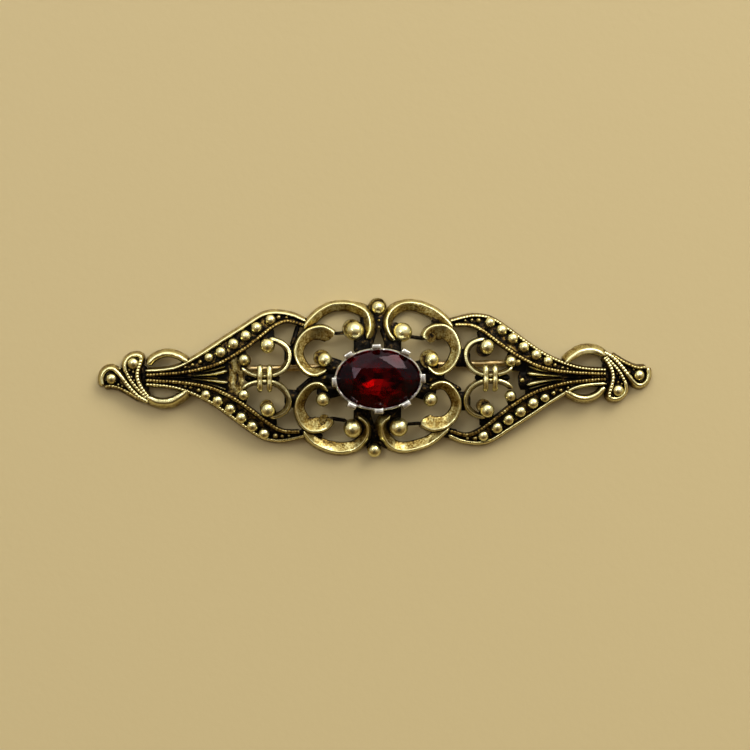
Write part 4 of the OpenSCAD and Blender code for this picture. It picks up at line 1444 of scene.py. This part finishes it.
@dataclass
class Setting:
    """The silver-tone cup round the stone: a thin crimped rim and eight flat claws."""

    seat_top: float = 2.56
    # half length and half width of the ovals that the rim and the claws follow
    rim_oval: Row = (4.95, 3.5)
    claw_oval: Row = (5.05, 3.6)
    claw_breadth: float = 1.1
    claw_soft: float = 0.09
    # each claw's angle and distance from the middle
    claws: Rows = (
        (0.9, 5.13), (44.7, 4.41), (93.9, 3.76), (141.5, 4.45), (183.5, 5.12), (225.0, 4.36),
        (270.5, 3.71), (317.4, 4.34),
    )
    # a claw's outer and inner side, its height, and its share of the full breadth, below and above
    claw_foot: Row = (0.33, -0.2, 0.9, 1.0)
    claw_top: Row = (0.23, -0.33, 2.2, 0.92)
    # the cup's section: half length, half width, and height over the seat
    rings: Rows = (
        (4.72, 3.27, 0.02), (5.06, 3.61, 0.7), (5.07, 3.62, 1.5), (5.02, 3.57, 1.8), (4.97, 3.52, 1.89),
        (4.85, 3.4, 1.9), (4.77, 3.32, 1.82), (4.83, 3.38, 1.7), (4.9, 3.45, 1.6), (4.9, 3.45, 1.38),
        (4.35, 2.9, 1.04), (4.3, 2.85, 0.02),
    )
    cup_sides: int = 240
    # the rim's edge is what lies over this height and outside this half length
    edge_height: float = 1.65
    edge_length: float = 4.78
    # distance from a claw at which a bay starts, and over which it opens
    bay_from: float = 0.62
    bay_over: float = 0.22
    # how far the edge swells out in a bay, how far it is pinched in and dips at a claw, and its crimps
    swell: float = 0.07
    pinch: float = 0.05
    dip: float = 0.42
    crimp: float = 0.03

    def claw(self, mesh: bmesh.types.BMesh, angle: float, distance: float) -> None:
        """Makes a flat claw outside the rim, with its top bent a little over the stone.

        Args:
            mesh: an empty mesh.
            angle: where it stands round the stone, in degrees.
            distance: how far from the middle.
        """
        x, y = distance * math.cos(math.radians(angle)), distance * math.sin(math.radians(angle))
        long, wide = self.claw_oval
        facing = math.atan2(y / wide ** 2, x / long ** 2)
        bmesh.ops.create_cube(mesh, size=1.0)
        for vert in mesh.verts:
            outer, inner, up, share = self.claw_top if vert.co.z > 0 else self.claw_foot
            half = self.claw_breadth / 2 * share
            out, side = outer if vert.co.x > 0 else inner, half if vert.co.y > 0 else -half
            vert.co = Vector((out, side, up)) * MM
        bmesh.ops.bevel(
            mesh, geom=mesh.edges[:], offset=self.claw_soft * MM, segments=3, profile=0.5, affect="EDGES",
            material=-1,
        )
        place = Matrix.Translation(Vector((x, y, self.seat_top)) * MM) @ Matrix.Rotation(facing, 4, "Z")
        bmesh.ops.transform(mesh, verts=mesh.verts, matrix=place)

    def cup(self, mesh: bmesh.types.BMesh) -> None:
        """Makes the oval cup, whose rim swells between two claws and dips at each.

        Args:
            mesh: an empty mesh.
        """
        turns = [(math.radians(angle), distance) for angle, distance in self.claws]
        claws = [Vector((r * math.cos(a), r * math.sin(a))) for a, r in turns]
        hoop = []
        for k in range(self.cup_sides):
            turn = 2 * math.pi * k / self.cup_sides
            cos, sin = math.cos(turn), math.sin(turn)
            spot = Vector((self.rim_oval[0] * cos, self.rim_oval[1] * sin))
            near = min((claw - spot).length for claw in claws)
            bay = max(0.0, min(1.0, (near - self.bay_from) / self.bay_over))
            crimp = self.crimp * lump(cos, sin, 6.0, 6.0, 1.0)
            ring = []
            for half_length, half_width, up in self.rings:
                edge = up > self.edge_height and half_length > self.edge_length
                swell = self.swell * bay - self.pinch + crimp if edge else 0.0
                lower = self.dip * (1 - bay) * max(0.0, min(1.0, (up - 1.4) / 0.4))
                x, y = (half_length + swell) * cos, (half_width + swell) * sin
                ring.append(Vector((x, y, self.seat_top + up - lower)) * MM)
            hoop.append(ring)
        loop(mesh, hoop)

    def build(self) -> bpy.types.Object:
        """Builds the cup and its claws.

        Returns:
            The setting, as one fused body.
        """
        builds = {"cup": self.cup}
        for k, (angle, distance) in enumerate(self.claws):
            builds[f"claw_{k}"] = partial(self.claw, angle=angle, distance=distance)
        shells = []
        for name, build in builds.items():
            mesh = bmesh.new()
            build(mesh)
            shells.append(shell_object(name, mesh))
        body = fuse("silver_setting", shells)
        smooth_by_angle(body, 40)
        return body


@dataclass
class Stone:
    """The oval mixed cut: a long six-sided table, star and kite facets, and a foiled pavilion."""

    half_length: float = 4.83
    half_width: float = 3.38
    seat_top: float = 2.56
    # corners as angle, share of the girdle's size, and height over the seat
    table: Rows = (
        (0.0, 0.59, 2.72), (43.0, 0.56, 2.72), (137.0, 0.56, 2.72), (180.0, 0.59, 2.72), (223.0, 0.56, 2.72),
        (317.0, 0.56, 2.72),
    )
    stars: Rows = (
        (31.0, 0.75, 2.42), (90.0, 0.75, 2.42), (149.0, 0.75, 2.42), (211.0, 0.75, 2.42), (270.0, 0.75, 2.42),
        (329.0, 0.75, 2.42),
    )
    girdle_rise: float = 1.5
    girdle_height: float = 0.1
    girdle_sides: int = 24
    # pressed glass is a little uneven, which breaks up what the pavilion sends back
    uneven: Row = (0.0, 0.03, -0.02, 0.015, -0.03, 0.02, 0.01)

    def corners(self) -> list[Row]:
        """Lists the stone's corners: table, stars, girdle, and the rows and the keel of the pavilion.

        Returns:
            Rows of angle, share of the girdle's size, and height over the seat.
        """
        rows = [*self.table, *self.stars]
        step = 360 / self.girdle_sides
        for k in range(self.girdle_sides):
            rows += [(step * k, 1.0, self.girdle_rise + z) for z in (0.0, self.girdle_height)]
        rows += [(11.25 + 22.5 * k, 0.72 + self.uneven[k % 7], self.girdle_rise - 0.82) for k in range(16)]
        rows += [(22.5 * k, 0.47 + self.uneven[(k + 3) % 7], 0.06 + self.uneven[k % 7]) for k in range(16)]
        rows += [(22.5 + 45 * k, 0.24, -0.45) for k in range(8)]
        return rows + [(0.0, 0.12, -0.72), (180.0, 0.12, -0.72)]

    def point(self, angle: float, share: float, up: float) -> Vector:
        """A corner's place, in metres."""
        x = self.half_length * share * math.cos(math.radians(angle))
        y = self.half_width * share * math.sin(math.radians(angle))
        return Vector((x, y, self.seat_top + up)) * MM

    def build(self, glass: bpy.types.Material, foil: bpy.types.Material) -> bpy.types.Object:
        """Builds the stone.

        Args:
            glass: finish of the crown and girdle.
            foil: finish of the pavilion.

        Returns:
            The stone, with flat facets.
        """
        mesh = bmesh.new()
        verts = [mesh.verts.new(self.point(*row)) for row in self.corners()]
        made = bmesh.ops.convex_hull(mesh, input=verts)
        spare = [item for item in made["geom_interior"] if isinstance(item, bmesh.types.BMVert)]
        bmesh.ops.delete(mesh, geom=spare, context="VERTS")
        bmesh.ops.dissolve_limit(mesh, angle_limit=math.radians(1.0), verts=mesh.verts, edges=mesh.edges)
        obj = shell_object("oval_stone", mesh)
        obj.data.materials.append(glass)
        obj.data.materials.append(foil)
        edge = (self.seat_top + self.girdle_rise - 0.02) * MM
        for face in obj.data.polygons:
            face.material_index = 1 if face.center.z < edge and face.normal.z < -0.05 else 0
        return obj


@dataclass(frozen=True)
class Patch:
    """A soft round patch of the world: low outside it, and high within it.

    towards is the direction of its middle, and inner and outer are the angles from it, in degrees, up to
    which it is full and from which it is gone.
    """

    towards: Row
    inner: float
    outer: float
    low: float
    high: float

    def node(self, tree: bpy.types.NodeTree) -> bpy.types.NodeSocket:
        """Adds the patch to a world.

        Args:
            tree: the world's node tree.

        Returns:
            The output that holds its value.
        """
        way = add(tree, "ShaderNodeTexCoord").outputs["Generated"]
        middle = Vector(self.towards).normalized()
        near = add(tree, "ShaderNodeVectorMath", {0: way, 1: middle}, operation="DOT_PRODUCT")
        return add(tree, "ShaderNodeMapRange", {
            "Value": near.outputs["Value"], "From Min": math.cos(math.radians(self.outer)),
            "From Max": math.cos(math.radians(self.inner)), "To Min": self.low, "To Max": self.high,
        }, interpolation_type="SMOOTHSTEP").outputs["Result"]


@dataclass
class Studio:
    """The pale sheet, the soft light and the camera, which looks almost straight down."""

    # millimetres, degrees about X, Y and Z, and a focal length in pixels of the picture
    camera_at: Row = (-13.56, 5.85, 250.0)
    tilt: Row = (-1.278, -3.062, 0.0)
    focal_pixels: float = 2152.4
    picture_pixels: float = 750.0
    sensor: float = 36.0
    # half the sheet's side, in metres
    sheet_reach: float = 0.6
    # lights of the world: a dim room, brighter beyond the sheet, with a window there, and a ceiling lamp
    lights: tuple[Patch, ...] = (
        Patch((0.0, 0.6, 0.8), 50.0, 108.0, 0.28, 0.64),
        Patch((0.0, 0.82, 0.57), 14.0, 44.0, 0.0, 1.15),
        Patch((-0.44, 0.31, 0.84), 5.0, 11.0, 0.0, 6.5),
    )
    # what takes light away from them: the dark near side of the room, and the camera overhead
    shades: tuple[Patch, ...] = (
        Patch((0.0, -0.57, 0.82), 16.0, 38.0, 1.0, 0.14),
        Patch((0.0, 0.0, 1.0), 4.0, 10.0, 1.0, 0.3),
    )
    # warm on the near side and white towards the window
    sides: Patch = Patch((0.0, 1.0, 0.0), 20.0, 150.0, 0.0, 1.0)
    warm: str = "#D2AC70"
    white: str = "#FFFBF4"
    # the lamp's place in metres, its breadth and length, power in watts and colour
    lamp_at: Row = (0.4, 0.58, 0.46)
    lamp_size: Row = (0.5, 0.4)
    lamp_power: float = 4.75
    lamp_colour: str = "#FFF6E6"

    def camera(self) -> None:
        """Sets the camera."""
        data = bpy.data.cameras.new("camera")
        data.sensor_width = self.sensor
        data.lens = self.focal_pixels / self.picture_pixels * self.sensor
        data.clip_start = 0.01
        data.clip_end = 20.0
        obj = link_object("camera", data)
        tilt_x, tilt_y, tilt_z = (math.radians(a) for a in self.tilt)
        place = Matrix.Translation(Vector(self.camera_at) * MM)
        place = place @ Matrix.Rotation(tilt_x, 4, "X") @ Matrix.Rotation(tilt_y, 4, "Y")
        obj.matrix_world = place @ Matrix.Rotation(tilt_z, 4, "Z")
        bpy.context.scene.camera = obj

    def sheet(self, finish: bpy.types.Material) -> None:
        """Lays the pale sheet.

        Args:
            finish: its material.
        """
        mesh = bmesh.new()
        bmesh.ops.create_grid(mesh, x_segments=1, y_segments=1, size=self.sheet_reach)
        data = bpy.data.meshes.new("sheet")
        mesh.to_mesh(data)
        mesh.free()
        data.materials.append(finish)
        obj = link_object("sheet", data)

    def world(self) -> None:
        """Lights the world: its lights add up, and each shade takes its share away."""
        world = bpy.data.worlds.new("studio")
        bpy.context.scene.world = world
        world.use_nodes = True
        tree = world.node_tree
        tree.nodes.clear()
        bright, *more = [patch.node(tree) for patch in self.lights]
        for light in more:
            bright = add(tree, "ShaderNodeMath", {0: bright, 1: light}, operation="ADD").outputs[0]
        for patch in self.shades:
            bright = add(tree, "ShaderNodeMath", {
                0: bright, 1: patch.node(tree),
            }, operation="MULTIPLY").outputs[0]
        tone = add(tree, "ShaderNodeValToRGB", {"Fac": self.sides.node(tree)}, (
            (0.2, self.warm), (0.62, self.white),
        ))
        back = add(tree, "ShaderNodeBackground", {"Color": tone.outputs["Color"], "Strength": bright})
        add(tree, "ShaderNodeOutputWorld", {"Surface": back.outputs["Background"]})

    def lamp(self) -> None:
        """Hangs the one lamp, which gives the soft shadows."""
        data = bpy.data.lights.new("lamp", "AREA")
        data.shape = "RECTANGLE"
        data.size, data.size_y = self.lamp_size
        data.energy = self.lamp_power
        data.color = linear(self.lamp_colour)[:3]
        spot = Vector(self.lamp_at)
        obj = link_object("lamp", data)
        obj.matrix_world = Matrix.Translation(spot) @ spot.to_track_quat("Z", "Y").to_matrix().to_4x4()

    def build(self) -> None:
        """Builds the whole studio."""
        self.camera()
        self.sheet(PaleSheet().make())
        self.world()
        self.lamp()
        view = bpy.context.scene.view_settings
        view.view_transform = "Standard"
        view.look = "None"


def main() -> None:
    """Builds the brooch's pieces, dresses them and seats them on the frame's bodies."""
    logging.basicConfig(level=logging.INFO, format="%(name)s: %(message)s")
    Studio().build()

    casting = Casting().build()
    smooth_by_angle(casting, 42)
    casting.data.materials.append(AntiquedGold().make())
    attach(casting, BROOCH)
    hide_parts("openwork_frame")
    LOG.info("built %s", casting.name)

    setting = Setting().build()
    setting.data.materials.append(PlainMetal("silver_tone_plate", "#F2F2EE", "#C9CAC6", 0.2).make())
    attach(setting, BROOCH)
    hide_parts("stone_setting")
    LOG.info("built %s, %d triangles", setting.name, triangles(setting))

    stone = Stone().build(RedGlass().make(), StoneFoil().make())
    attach(stone, BROOCH)
    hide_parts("stone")
    LOG.info("built %s, %d triangles", stone.name, triangles(stone))

    wire = PlainMetal("gold_tone_wire_plate", "#EAD29A", "#C4A468", 0.34).make()
    for name in ("pin_stem", "hinge_rivet"):
        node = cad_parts[name]
        node.data.materials.clear()
        node.data.materials.append(wire)
        LOG.info("dressed %s", name)


if __name__ == "__main__":
    main()
